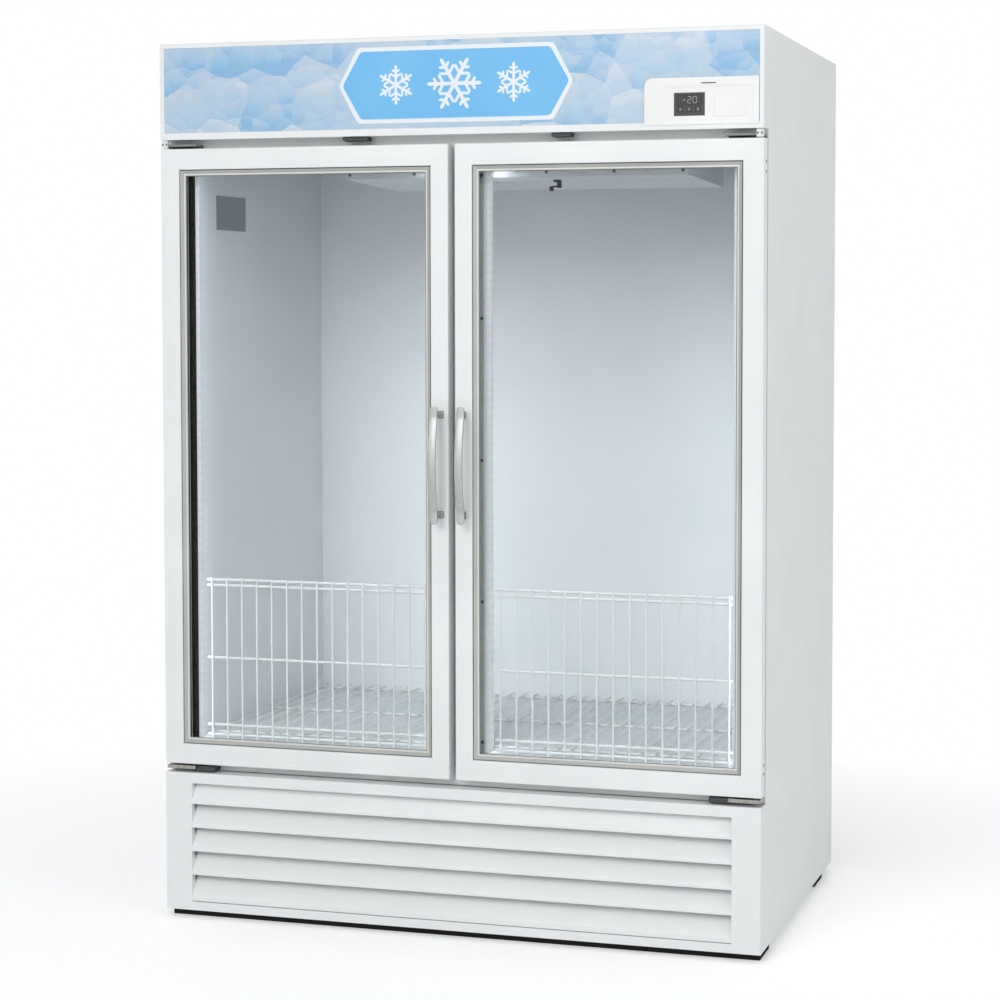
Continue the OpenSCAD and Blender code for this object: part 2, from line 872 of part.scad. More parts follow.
module left_door_bead() {
    color(grey_metal)
        ring([pane_x0, pane_x1], [bead_recess, glass_d], [pane_z0, pane_z1],
            [pane_x0 + bead_w, pane_x1 - bead_w], [pane_z0 + bead_w, pane_z1 - bead_w]);
}

module left_door_gasket() {
    edge = gasket_inset;
    inner = gasket_inset + gasket_w;
    color("#9fa3a5")
        ring([door_x0 + edge, door_x1 - edge], [door_t, face_d - fit_gap],
            [door_z0 + edge, door_z1 - edge],
            [door_x0 + inner, door_x1 - inner], [door_z0 + inner, door_z1 - inner]);
}

// a strap bowed outwards between two flat pads with round ends
module left_handle() {
    color("#c4c4c0") {
        for (way = [-1, 1]) {
            tip = handle_z + way * (handle_len / 2 - handle_w / 2);
            root = handle_z + way * (strap_z - 3);
            box([handle_x - handle_w / 2, handle_x + handle_w / 2], [-pad_front, -pad_front + handle_t],
                [min(tip, root), max(tip, root)]);
            bar_y(handle_x, [-pad_front, -pad_front + handle_t], tip, handle_w / 2);
        }
        translate([handle_x, front_y - handle_out + bow_r, handle_z])
            rotate([0, -90, 0])
                rotate([0, 0, -90])
                    rotate([0, 0, -bow_a])
                        rotate_extrude(angle = 2 * bow_a, $fn = 240)
                            translate([bow_r - handle_t, -handle_w / 2])
                                square([handle_t, handle_w]);
    }
}

module left_handle_feet() {
    plate_t = 3;
    x = handle_x + foot_shift;
    color(grey_metal)
        for (way = [-1, 1]) {
            z = handle_z + way * (handle_len / 2 - foot_in);
            box([x - foot_w / 2, x + foot_w / 2], [-plate_t, 0], [z - foot_w / 2, z + foot_w / 2]);
            bar_y(x, [-pad_front + handle_t, -plate_t], z, foot_w / 4);
        }
}

// ---- lamps ----

module lamp_housings() {
    color(black_plastic)
        for (side = [-1, 1])
            scale([side, 1, 1])
                box([lamp_x - side_lamp_w, lamp_x], [face_d, face_d + side_lamp_d], [cav_z0, open_z1]);
}

module lamp_lenses() {
    color("#f4f6f2")
        for (side = [-1, 1])
            scale([side, 1, 1]) {
                box([lamp_x - side_lamp_w - lens_w, lamp_x - side_lamp_w],
                    [face_d + 3, face_d + side_lamp_d - 2], [cav_z0 + 4, open_z1 - 4]);
                box([mull_x, mull_x + lens_w], [mull_lens_d, mull_lens_d + side_lamp_d],
                    [cav_z0 + 4, open_z1 - 4]);
            }
}

// ---- evaporator ----

module evaporator_cover() {
    t = 1;
    under = [[evap_d0, evap_z0 + evap_slope], [evap_d1, evap_z0], [evap_d1, evap_z0 + t],
        [evap_d0, evap_z0 + evap_slope + t]];
    ends = [[evap_d0, evap_z0 + evap_slope], [evap_d1, evap_z0], [evap_d1, cav_z1], [evap_d0, cav_z1]];
    color(white_paint)
        difference() {
            union() {
                along_x(under, [evap_x0, evap_x1]);
                box([evap_x0, evap_x1], [evap_d0, evap_d0 + t], [evap_z0 + evap_slope, cav_z1]);
                box([evap_x0, evap_x1], [evap_d1 - t, evap_d1], [evap_z0, cav_z1]);
                along_x(ends, [evap_x0, evap_x0 + t]);
                along_x(ends, [evap_x1 - t, evap_x1]);
            }
            for (x = [evap_x - evap_fan_x, evap_x + evap_fan_x])
                bar_y(x, [evap_d1 - 2 * cut, evap_d1 + cut], evap_fan_z, evap_ring_r);
            for (x = intake_x())
                box([x - 24, x + 24], [evap_d0 + 130, evap_d0 + 138],
                    [evap_z0 - cut, evap_z0 + evap_slope + 2 * cut]);
            for (x = lip_screw_x())
                bar_y(x, [evap_d0 - cut, evap_d0 + 2 * cut], evap_z0 + evap_slope + 10, screw_r + 0.1);
            wall_pipes(fit_gap);
        }
}

// middles of the intake slots under the coil
function intake_x() = [
    for (i = [0 : 10]) evap_x0 + 67 + i * (evap_w - 134) / 10
];

function lip_screw_x() = [
    for (i = [0 : lip_screws - 1]) evap_x0 + 12 + i * (evap_w - 24) / (lip_screws - 1)
];

// fins on a row of tube plates, between two end plates
module fin_block(x, d, z, plate_z) {
    count = floor((x[1] - x[0] - 10) / fin_pitch);
    first = (x[0] + x[1]) / 2 - (count - 1) * fin_pitch / 2;
    mid = (d[0] + d[1]) / 2;
    for (i = [0 : count - 1])
        box([first + i * fin_pitch - fin_t / 2, first + i * fin_pitch + fin_t / 2], d, z);
    box(x, [mid - 4, mid + 4], [z[0] + 6, z[1] - 6]);
    for (end = [x[0], x[1] - 2])
        box([end, end + 2], d, plate_z);
}

module evaporator_coil() {
    color("#c9ccc8")
        difference() {
            fin_block([evap_x0 + coil_side, evap_x1 - coil_side], [coil_d0, coil_d1],
                [evap_z0 + coil_rise, cav_z1 - coil_drop], [evap_z0 + coil_rise, cav_z1]);
            wall_pipes(fit_gap);
        }
}

module fan_blades(r, count) {
    for (i = [0 : count - 1])
        rotate([0, 0, i * 360 / count])
            translate([hub_r - 2, 0, hub_len / 2])
                rotate([blade_pitch, 0, 0])
                    translate([0, -r * 0.28, -blade_t / 2])
                        cube([r - hub_r, r * 0.56, blade_t]);
}

// hub and flat pitched blades round an axis along Y; the bore is open at the motor side
module fan(x, d, z, r, count) {
    translate([x, front_y + d, z])
        rotate([-90, 0, 0])
            difference() {
                union() {
                    cylinder(h = hub_len, r = hub_r);
                    intersection() {
                        fan_blades(r, count);
                        translate([0, 0, -r])
                            cylinder(h = 3 * r, r = r);
                    }
                }
                translate([0, 0, -cut])
                    cylinder(h = hub_len - 5 + cut, r = shaft_r + shaft_clear);
            }
}

module left_evaporator_fan() {
    color("#2d2f33")
        fan(evap_x - evap_fan_x, evap_hub_d, evap_fan_z, evap_fan_r, 5);
}

module right_evaporator_fan() {
    color("#2d2f33")
        fan(evap_x + evap_fan_x, evap_hub_d, evap_fan_z, evap_fan_r, 5);
}

module condenser_fan() {
    color("#2d2f33")
        fan(cond_x, cond_hub_d, cond_z, cond_fan_r, 5);
}

// a motor in front of its fan hub, held by a U bracket whose legs reach back to the fan plate
module motor(x, hub_d, z, plate_d, reach) {
    bracket = 2;
    front = hub_d - 8 - motor_len;
    bar_y(x, [front, hub_d - 8], z, motor_r);
    bar_y(x, [hub_d - 8 - cut, hub_d + hub_len - 10], z, shaft_r);
    box([x - 12, x + 12], [front - bracket, front + 0.01], [z - reach, z + reach]);
    for (way = [-1, 1])
        box([x - 12, x + 12], [front - bracket, plate_d],
            [z + way * reach - bracket / 2, z + way * reach + bracket / 2]);
}

module fan_motors() {
    color("#4a4c50") {
        for (x = [evap_x - evap_fan_x, evap_x + evap_fan_x])
            motor(x, evap_hub_d, evap_fan_z, evap_d1 - 1, evap_ring_r + 8);
        motor(cond_x, cond_hub_d, cond_z, shroud_d, cond_fan_r + 11);
    }
}

// ---- wire goods ----

module wire_guard() {
    span = guard_out - guard_in;
    count = floor(span / guard_pitch) + 1;
    first = -(guard_in + guard_out) / 2 - (count - 1) * guard_pitch / 2;
    top = guard_z0 + guard_h;
    rail_d = guard_d + wire_r + rail_wire_r - weld;
    for (i = [0 : count - 1])
        rod([first + i * guard_pitch, guard_d, guard_z0], [first + i * guard_pitch, guard_d, top], wire_r);
    for (z = [guard_z0 + 8, guard_z0 + 30, guard_z0 + guard_h / 2, top - 18, top - 5])
        rod([-guard_out, rail_d, z], [-guard_in, rail_d, z], rail_wire_r);
}

module wire_guards() {
    color(white_paint) {
        wire_guard();
        right_hand()
            wire_guard();
    }
}

module floor_rack() {
    span = rack_out - rack_in;
    count = floor(span / rack_pitch) + 1;
    first = -(rack_in + rack_out) / 2 - (count - 1) * rack_pitch / 2;
    for (i = [0 : count - 1])
        rod([first + i * rack_pitch, rack_d0, rack_z], [first + i * rack_pitch, rack_d1, rack_z], wire_r);
    for (i = [0 : 2]) {
        d = rack_d0 + 25 + i * (rack_d1 - rack_d0 - 50) / 2;
        rod([-rack_out, d, cross_z], [-rack_in, d, cross_z], rail_wire_r);
    }
}

module floor_racks() {
    color(white_paint) {
        floor_rack();
        right_hand()
            floor_rack();
    }
}

module notice_plate() {
    color("#8f979c")
        box([-cav_x, -cav_x + 1], [notice_d, notice_d + notice_w], [notice_z, notice_z + notice_h]);
}

// ---- machine parts ----

module compressor() {
    dome = 34;
    color("#26282b")
        translate([comp_x, front_y + comp_d, bay_z0]) {
            translate([0, 0, foot_h]) {
                cylinder(h = comp_h - dome, r = comp_r);
                translate([0, 0, suction_stub_z - bay_z0 - foot_h])
                    rotate([0, 90, 0])
                        cylinder(h = stub_x, r = suction_r + 3);
                translate([0, 0, discharge_stub_z - bay_z0 - foot_h])
                    rotate([0, -90, 0])
                        cylinder(h = stub_x, r = liquid_r + 3);
                translate([0, 0, comp_h - dome])
                    cylinder(h = dome, r1 = comp_r, r2 = comp_r * 0.55);
                translate([-comp_r - comp_foot, -45, 0])
                    cube([2 * (comp_r + comp_foot), 90, 4]);
            }
            for (x = [-comp_r - comp_foot / 2, comp_r + comp_foot / 2], y = [-30, 30])
                translate([x, y, 0])
                    cylinder(h = foot_h, r = 11);
        }
}

module condenser_coil() {
    color("#8d9091")
        fin_block([cond_x - cond_w / 2, cond_end], [cond_d0, cond_d0 + cond_d],
            [bay_z0 + 10, bay_z0 + 10 + cond_h], [bay_z0, bay_z0 + 16 + cond_h]);
}

module fan_shroud() {
    color(grey_metal)
        difference() {
            union() {
                box([cond_x - cond_w / 2, cond_x + cond_w / 2], [shroud_d, shroud_d + shroud_t],
                    [bay_z0, bay_z0 + cond_h + 16]);
                for (x = [cond_x - cond_w / 2, cond_x + cond_w / 2 - shroud_t])
                    box([x, x + shroud_t], [cond_d0 + cond_d, shroud_d + shroud_t],
                        [bay_z0, bay_z0 + cond_h + 16]);
                box([cond_x - cond_w / 2, cond_x + cond_w / 2], [cond_d0 + cond_d, shroud_d + shroud_t],
                    [bay_z0 + cond_h + 16 - shroud_t, bay_z0 + cond_h + 16]);
            }
            bar_y(cond_x, [shroud_d - cut, shroud_d + shroud_t + cut], cond_z, cond_fan_r + 5);
        }
}

module drain_pan() {
    x = [pan_x - pan_w / 2, pan_x + pan_w / 2];
    d = [pan_back - pan_d, pan_back];
    color("#c9ccc8")
        difference() {
            box(x, d, [bay_z0, bay_z0 + pan_h]);
            box([x[0] + pan_wall, x[1] - pan_wall], [d[0] + pan_wall, d[1] - pan_wall],
                [bay_z0 + pan_wall, bay_z0 + pan_h + cut]);
        }
}

module control_box() {
    x = [control_x - control_w / 2, control_x + control_w / 2];
    d = [control_front, control_front + control_d];
    wall = control_wall;
    top = bay_z0 + control_h;
    color("#d2d4d3") {
        difference() {
            box(x, d, [bay_z0, top]);
            box([x[0] + wall, x[1] - wall], [d[0] + wall, d[1] - wall], [bay_z0 + wall, top + cut]);
        }
        box([x[0] - lid_over, x[1] + lid_over], [d[0] - lid_over, d[1] + lid_over], [top, top + wall]);
    }
}

module pipework() {
    color(copper) {
        pipe(suction_route, suction_r);
        pipe(liquid_route, liquid_r);
        pipe(drain_route, drain_r);
        pipe(discharge_route, liquid_r);
    }
}

module supply_gland() {
    color(black_plastic)
        difference() {
            union() {
                bar_y(gland_x, [rear_cover_d - 10, rear_cover_d + 13], gland_z, gland_r);
                bar_y(gland_x, [rear_cover_d + 1.2, rear_cover_d + 4], gland_z, gland_r + 5);
            }
            bar_y(gland_x, [rear_cover_d - 10 - cut, rear_cover_d + 13 + cut], gland_z, 5);
        }
}

module screw(x, d, z) {
    bar_y(x, [d - head_h, d], z, head_r);
    bar_y(x, [d - cut, d + screw_len], z, screw_r);
}

module screws() {
    color(steel) {
        for (x = [-mullion_screw_x, mullion_screw_x], z = mullion_screw_z())
            screw(x, face_d, z);
        for (x = lip_screw_x())
            screw(x, evap_d0, evap_z0 + evap_slope + 10);
    }
}

side_panel();  // left_side_panel
right_hand() side_panel();  // right_side_panel
top_panel();
back_panel();
cabinet_face();
liner();
foam_insulation();
mullion();
base_pan();
base_rails();
front_panel();
louvre_slats();
rear_vent_cover();
header_frame();
sign_panel();
sign_lamp();
controller_bezel();
controller();
blanking_cover();
key(0);  // key_down
key(1);  // key_up
key(2);  // key_set
top_hinges();
bottom_hinges();
hinge_stops();
lamp_housings();
lamp_lenses();
evaporator_cover();
evaporator_coil();
left_evaporator_fan();
right_evaporator_fan();
fan_motors();
floor_racks();
wire_guards();
notice_plate();
compressor();
condenser_coil();
condenser_fan();
fan_shroud();
drain_pan();
control_box();
pipework();
supply_gland();
screws();
left_door_frame();
left_door_glass();
left_door_spacers();
left_door_bead();
left_door_gasket();
left_door_bushes();
left_handle();
left_handle_feet();
right_hand() left_door_frame();  // right_door_frame
right_hand() left_door_glass();  // right_door_glass
right_hand() left_door_spacers();  // right_door_spacers
right_hand() left_door_bead();  // right_door_bead
right_hand() left_door_gasket();  // right_door_gasket
right_hand() left_door_bushes();  // right_door_bushes
right_hand() left_handle();  // right_handle
right_hand() left_handle_feet();  // right_handle_feet
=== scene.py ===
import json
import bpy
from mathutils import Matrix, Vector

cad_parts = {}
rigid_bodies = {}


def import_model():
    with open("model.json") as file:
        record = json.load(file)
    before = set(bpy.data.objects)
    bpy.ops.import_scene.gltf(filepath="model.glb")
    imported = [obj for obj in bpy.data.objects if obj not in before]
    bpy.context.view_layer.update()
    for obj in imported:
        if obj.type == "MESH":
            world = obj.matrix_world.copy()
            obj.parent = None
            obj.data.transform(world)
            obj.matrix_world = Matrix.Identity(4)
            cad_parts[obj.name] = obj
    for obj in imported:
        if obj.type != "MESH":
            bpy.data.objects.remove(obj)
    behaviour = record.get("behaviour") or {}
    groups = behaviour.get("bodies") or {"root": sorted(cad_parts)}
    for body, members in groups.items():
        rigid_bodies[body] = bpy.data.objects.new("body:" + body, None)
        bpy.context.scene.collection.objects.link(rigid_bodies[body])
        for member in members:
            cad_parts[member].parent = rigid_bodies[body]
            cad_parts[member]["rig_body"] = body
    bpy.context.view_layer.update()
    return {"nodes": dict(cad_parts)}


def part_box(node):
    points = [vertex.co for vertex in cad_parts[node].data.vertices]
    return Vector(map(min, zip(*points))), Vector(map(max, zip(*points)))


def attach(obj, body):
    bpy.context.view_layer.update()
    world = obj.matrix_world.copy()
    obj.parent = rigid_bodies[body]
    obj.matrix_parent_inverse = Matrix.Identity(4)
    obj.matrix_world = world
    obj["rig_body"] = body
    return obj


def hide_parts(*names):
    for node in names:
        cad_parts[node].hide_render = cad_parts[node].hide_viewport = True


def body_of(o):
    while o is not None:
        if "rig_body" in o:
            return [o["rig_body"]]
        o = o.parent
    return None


bl_info = {
    "name": "Ice merchandiser freezer",
    "version": (1, 0, 0),
    "blender": (4, 5, 0),
    "location": "3D View > Sidebar > Freezer",
    "description": "Two-door ice merchandiser freezer built on its solid frame",
    "category": "Object",
}

from math import pi, radians

import bmesh
import bpy
import numpy as np
from mathutils import Vector

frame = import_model()
NODES = frame["nodes"]
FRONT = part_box("header_frame")[0].y  # plane of the door faces; depths are measured behind it


# ---- places, in millimetres: X across, depth behind the front plane, height above the floor ----


def span(node):
    """A CAD node's box as six numbers: x0, x1, d0, d1, z0, z1 in millimetres."""
    low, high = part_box(node)
    x0, x1 = low.x * 1000, high.x * 1000
    d0, d1 = (low.y - FRONT) * 1000, (high.y - FRONT) * 1000
    return x0, x1, d0, d1, low.z * 1000, high.z * 1000


def in_metres(points):
    """Points (x, depth, height) in millimetres as the frame's own coordinates in metres."""
    points = np.asarray(points, float).reshape(-1, 3) / 1000
    return points + np.array([0, FRONT, 0])


# ---- surfaces ----

FILM_EASE = 0.02  # the eased edge of a printed film or a flush insert, in millimetres


def rounded(corners, cut, steps=4):
    """A closed outline with its corners rounded.

    Each corner is cut back by its length along both sides, and the two ends a and b are joined by the
    rational curve ((1-t)^2 a + 2wt(1-t) corner + t^2 b) / ((1-t)^2 + 2wt(1-t) + t^2), which is part of
    a circle where w is the sine of half the corner's angle."""
    corners = np.asarray(corners, float)
    back = np.roll(corners, 1, 0) - corners
    on = np.roll(corners, -1, 0) - corners
    back_length = np.linalg.norm(back, axis=1)[:, None]
    on_length = np.linalg.norm(on, axis=1)[:, None]
    cosine = np.sum(back * on, 1)[:, None] / (back_length * on_length)
    weight = np.sqrt(np.clip((1 - cosine) / 2, 0, 1))
    cut = np.broadcast_to(np.asarray(cut, float), (len(corners),))[:, None]
    cut = np.minimum(cut, 0.48 * np.minimum(back_length, on_length))  # two corners share one side
    a = corners + back / back_length * cut
    b = corners + on / on_length * cut
    t = np.linspace(0, 1, steps + 1)[:, None, None]
    share = (1 - t) ** 2 + 2 * weight * t * (1 - t) + t**2
    curve = ((1 - t) ** 2 * a + 2 * weight * t * (1 - t) * corners + t**2 * b) / share
    return curve.transpose(1, 0, 2).reshape(-1, corners.shape[1])


def loft(loops, closed=False):
    """Walls between closed outlines: point j of outline i joins point j + 1 and outline i + 1.

    The ends are flat caps, or the last outline joins the first one again."""
    loops = np.asarray(loops, float)
    count, size, _ = loops.shape
    i = np.arange(count if closed else count - 1)[:, None]
    j = np.arange(size)[None, :]
    k, l = (i + 1) % count, (j + 1) % size
    faces = np.stack([i * size + j, i * size + l, k * size + l, k * size + j], -1).reshape(-1, 4).tolist()
    if not closed:
        faces += [list(range(size))[::-1], list(range((count - 1) * size, count * size))]
    return loops.reshape(-1, 3), faces


def along_x(outline, x0, x1):
    """An outline of (depth, height) points drawn straight from x0 to x1."""
    outline = np.asarray(outline, float)
    ends = [np.column_stack([np.full(len(outline), x), outline]) for x in (x0, x1)]
    return loft(ends)


def set_in(outline, distance):
    """An outline moved inwards: each point goes along its corner's bisector by distance / cos(half turn)."""
    outline = np.asarray(outline, float)
    on = np.roll(outline, -1, 0) - outline
    on /= np.linalg.norm(on, axis=1)[:, None] + 1e-12
    back = np.roll(on, 1, 0)
    normal = np.column_stack([-(on + back)[:, 1], (on + back)[:, 0]])
    area = np.sum(outline[:, 0] * np.roll(outline[:, 1], -1) - np.roll(outline[:, 0], -1) * outline[:, 1])
    length = np.sum(normal * normal, 1)[:, None] / 2
    # a very sharp corner would run far past the distance, so its share is held at 0.4
    return outline + np.sign(area) * distance * normal / np.maximum(length, 0.4)


def stacked(layers, closed=False):
    """Walls between (x, height) outlines, each standing at its own depth."""
    return loft([np.column_stack([o[:, 0], np.full(len(o), d), o[:, 1]]) for o, d in layers], closed)


def plate(outline, d0, d1, ease=0.4):
    """A plate of an (x, height) outline from depth d0 to d1, its two faces set in by the eased edge."""
    outline = np.asarray(outline, float)
    flat = set_in(outline, ease)
    return stacked([(flat, d0), (outline, d0 + ease), (outline, d1 - ease), (flat, d1)])


def corners_of(x0, x1, z0, z1):
    """The four corners of an upright rectangle."""
    return np.array([(x0, z0), (x1, z0), (x1, z1), (x0, z1)], float)


def frame_corners(outer, inner, profile, nominal):
    """A profile's places at the four corners of a rectangular frame.

    A profile point (distance in, depth) lies on the rectangle that is set in from the outer one by
    distance x side width / nominal width, and past the side's width by the plain rest."""
    u, d = np.asarray(profile, float).T
    widths = [inner[0] - outer[0], outer[1] - inner[1], inner[2] - outer[2], outer[3] - inner[3]]
    left, right, low, high = [np.where(u <= nominal, u * w / nominal, w + u - nominal) for w in widths]
    xs = outer[0] + left, outer[1] - right
    zs = outer[2] + low, outer[3] - high
    order = ((0, 0), (1, 0), (1, 1), (0, 1))
    return np.stack([np.column_stack([xs[a], d, zs[b]]) for a, b in order])


def mitred_bars(corners, gap):
    """Four bars between a frame's corners, each ending short of the mitre by the gap: bottom, right,
    top, left."""
    bars = []
    for side in range(4):
        a, b = corners[side], corners[(side + 1) % 4]
        way = (b - a) / np.linalg.norm(b - a, axis=1)[:, None]
        bars.append(loft([a + gap * way, b - gap * way]))
    return bars


def turned(x, d, z, profile, sides=32):
    """A profile of (radius, depth) points turned about an axis along the depth."""
    angle = np.arange(sides) * 2 * pi / sides
    loops = [
        np.column_stack([x + r * np.cos(angle), np.full(sides, d + off), z + r * np.sin(angle)])
        for r, off in profile
    ]
    return loft(loops)


def strap(x, z, half_width, thickness, path, widths, ease=1.4):
    """A flat strap along a path of (depth, height) points.

    Its section is a rounded rectangle across the path, whose front is raised in the middle by a fifth of
    the thickness: X by the section's first number times the local width, the path's normal by its
    second."""
    path = np.asarray(path, float)
    way = np.gradient(path, axis=0)
    way /= np.linalg.norm(way, axis=1)[:, None]
    normal = np.column_stack([way[:, 1], -way[:, 0]])
    h = thickness / 2
    front = np.column_stack([np.linspace(half_width, -half_width, 9), np.full(9, -h)])
    front[:, 1] += 0.4 * h * (front[:, 0] / half_width) ** 2
    section = rounded([*front[::-1], (half_width, h), (-half_width, h)], [ease] + [0.4] * 7 + [ease] * 3, 3)
    loops = []
    for centre, side, width in zip(path, normal, widths):
        across = section[:, 0] * width
        depth = centre[0] + section[:, 1] * side[0]
        height = z + centre[1] + section[:, 1] * side[1]
        loops.append(np.column_stack([x + across, depth, height]))
    return loft(loops)


def bar_outline(a, b, width):
    """A straight bar between two (x, height) points with pointed ends."""
    a, b = np.asarray(a, float), np.asarray(b, float)
    way = (b - a) / np.linalg.norm(b - a)
    side = np.array([-way[1], way[0]]) * width / 2
    tip = way * width / 2
    return np.array([a - tip, a - side, b - side, b + tip, b + side, a + side])


# ---- pieces ----


def make_piece(name, parts, finishes, body, stands_for=(), sharp=32):
    """One mesh object from (points, faces) parts, each with an optional index into the finishes.

    Its doubles are merged, its normals turned outwards, and it rides on its body."""
    points, faces, finish_of, start = [], [], [], 0
    for part in parts:
        own_points, own_faces = part[0], part[1]
        points.append(in_metres(own_points))
        faces += [[start + i for i in face] for face in own_faces]
        finish_of += [part[2] if len(part) > 2 else 0] * len(own_faces)
        start += len(points[-1])
    mesh = bpy.data.meshes.new(name)
    mesh.from_pydata(np.concatenate(points), [], faces)
    mesh.polygons.foreach_set("material_index", finish_of)
    for finish in finishes:
        mesh.materials.append(FINISHES[finish])
    shell = bmesh.new()
    shell.from_mesh(mesh)
    bmesh.ops.remove_doubles(shell, verts=shell.verts, dist=2e-7)
    bmesh.ops.dissolve_degenerate(shell, edges=shell.edges, dist=1e-7)
    bmesh.ops.recalc_face_normals(shell, faces=shell.faces)
    shell.to_mesh(mesh)
    shell.free()
    return settle(name, mesh, body, stands_for, sharp)


def settle(name, mesh, body, stands_for, sharp):
    """Puts a finished mesh into the scene: smooth up to the sharp angle, riding on its body."""
    mesh.shade_smooth()
    mesh.set_sharp_from_angle(angle=radians(sharp))
    piece = bpy.data.objects.new(name, mesh)
    bpy.context.scene.collection.objects.link(piece)
    even = piece.modifiers.new("even_normals", "WEIGHTED_NORMAL")
    even.keep_sharp = True
    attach(piece, body)
    if stands_for:
        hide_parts(*stands_for)
    return piece


def eased_copy(node, width, finish, steps=2):
    """A copy of a CAD node with its loose triangles merged and its sharp edges eased by a bevel."""
    mesh = NODES[node].data.copy()
    shell = bmesh.new()
    shell.from_mesh(mesh)
    bmesh.ops.remove_doubles(shell, verts=shell.verts, dist=2e-6)
    bmesh.ops.dissolve_limit(shell, angle_limit=radians(0.4), verts=shell.verts, edges=shell.edges)
    shell.to_mesh(mesh)
    shell.free()
    one_finish(mesh, finish)
    body = body_of(NODES[node])[0]
    piece = settle(node + "_eased", mesh, body, (node,), 180)
    bevel = piece.modifiers.new("eased_edges", "BEVEL")
    bevel.width = width / 1000
    bevel.segments = steps
    bevel.limit_method = "ANGLE"
    bevel.angle_limit = radians(30)
    piece.modifiers.move(1, 0)
    return piece


def one_finish(mesh, finish):
    """Gives every face of a mesh the same finish."""
    mesh.materials.clear()
    mesh.materials.append(FINISHES[finish])
    mesh.polygons.foreach_set("material_index", [0] * len(mesh.polygons))


def finish_node(node, finish):
    """Gives a CAD node that stays its finish."""
    one_finish(NODES[node].data, finish)


# ---- finishes ----


def colour(hex_code):
    """An sRGB hex colour as linear RGBA: c / 12.92 below 0.04045, else ((c + 0.055) / 1.055) ^ 2.4."""
    values = np.array([int(hex_code[i : i + 2], 16) / 255 for i in (1, 3, 5)])
    linear = np.where(values <= 0.04045, values / 12.92, ((values + 0.055) / 1.055) ** 2.4)
    return (*linear.tolist(), 1.0)


def add_node(tree, kind, inputs=None, **settings):
    """One node with its settings, and its inputs as plain values or links from other sockets."""
    node = tree.nodes.new(kind)
    for key, value in settings.items():
        setattr(node, key, value)
    for key, value in (inputs or {}).items():
        if isinstance(value, bpy.types.NodeSocket):
            tree.links.new(value, node.inputs[key])
        else:
            node.inputs[key].default_value = value
    return node


def new_finish(name):
    """An empty material with its output and the object's own coordinates."""
    finish = bpy.data.materials.new(name)
    finish.use_nodes = True
    tree = finish.node_tree
    tree.nodes.clear()
    out = add_node(tree, "ShaderNodeOutputMaterial")
    place = add_node(tree, "ShaderNodeTexCoord").outputs["Object"]
    return finish, tree, out, place


def noise(tree, place, size, detail=2.0, stretch=(1, 1, 1)):
    """Noise whose lumps are about size millimetres across, stretched along an axis by its number."""
    scale = [1 / s for s in stretch]
    moved = add_node(tree, "ShaderNodeMapping", {"Vector": place, "Scale": scale})
    return add_node(
        tree,
        "ShaderNodeTexNoise",
        {"Vector": moved.outputs[0], "Scale": 1000 / size, "Detail": detail},
    ).outputs["Fac"]


def between(tree, factor, low, high, start=0.3, end=0.7):
    """A number or a colour that goes from low to high as the factor goes from start to end."""
    if isinstance(low, str):
        ramp = add_node(tree, "ShaderNodeValToRGB", {"Fac": factor})
        ramp.color_ramp.elements[0].position = start
        ramp.color_ramp.elements[1].position = end
        ramp.color_ramp.elements[0].color = colour(low)
        ramp.color_ramp.elements[1].color = colour(high)
        return ramp.outputs["Color"]
    inputs = {"Value": factor, "From Min": start, "From Max": end, "To Min": low, "To Max": high}
    return add_node(tree, "ShaderNodeMapRange", inputs).outputs[0]


def bump(tree, height, depth, strength=1.0):
    """A bump of the given depth in millimetres."""
    inputs = {"Height": height, "Distance": depth / 1000, "Strength": strength}
    return add_node(tree, "ShaderNodeBump", inputs).outputs[0]


def coated(name, low, high, roughness, peel, depth, gloss=0.5, coat=0.0):
    """Paint, coating or moulded plastic: a fine even grain in the surface and a faint drift of its
    colour over a hand's width."""
    finish, tree, out, place = new_finish(name)
    grain = noise(tree, place, peel, 2.0)
    drift = noise(tree, place, 160, 3.0)
    shader = add_node(
        tree,
        "ShaderNodeBsdfPrincipled",
        {
            "Base Color": between(tree, drift, low, high),
            "Roughness": between(tree, grain, roughness - 0.05, roughness + 0.05),
            "Specular IOR Level": gloss,
            "Coat Weight": coat,
            "Coat Roughness": 0.12,
            "Normal": bump(tree, grain, depth),
        },
    )
    tree.links.new(shader.outputs[0], out.inputs["Surface"])
    return finish


def metal(name, low, high, roughness, size, stretch=(1, 1, 1), depth=0.02, spread=0.08):
    """Bare or plated metal: its colour and gloss vary with the marks of how it was made."""
    finish, tree, out, place = new_finish(name)
    marks = noise(tree, place, size, 3.0, stretch)
    shader = add_node(
        tree,
        "ShaderNodeBsdfPrincipled",
        {
            "Base Color": between(tree, marks, low, high),
            "Metallic": 1.0,
            "Roughness": between(tree, marks, roughness - spread, roughness + spread),
            "Normal": bump(tree, marks, depth),
        },
    )
    tree.links.new(shader.outputs[0], out.inputs["Surface"])
    return finish


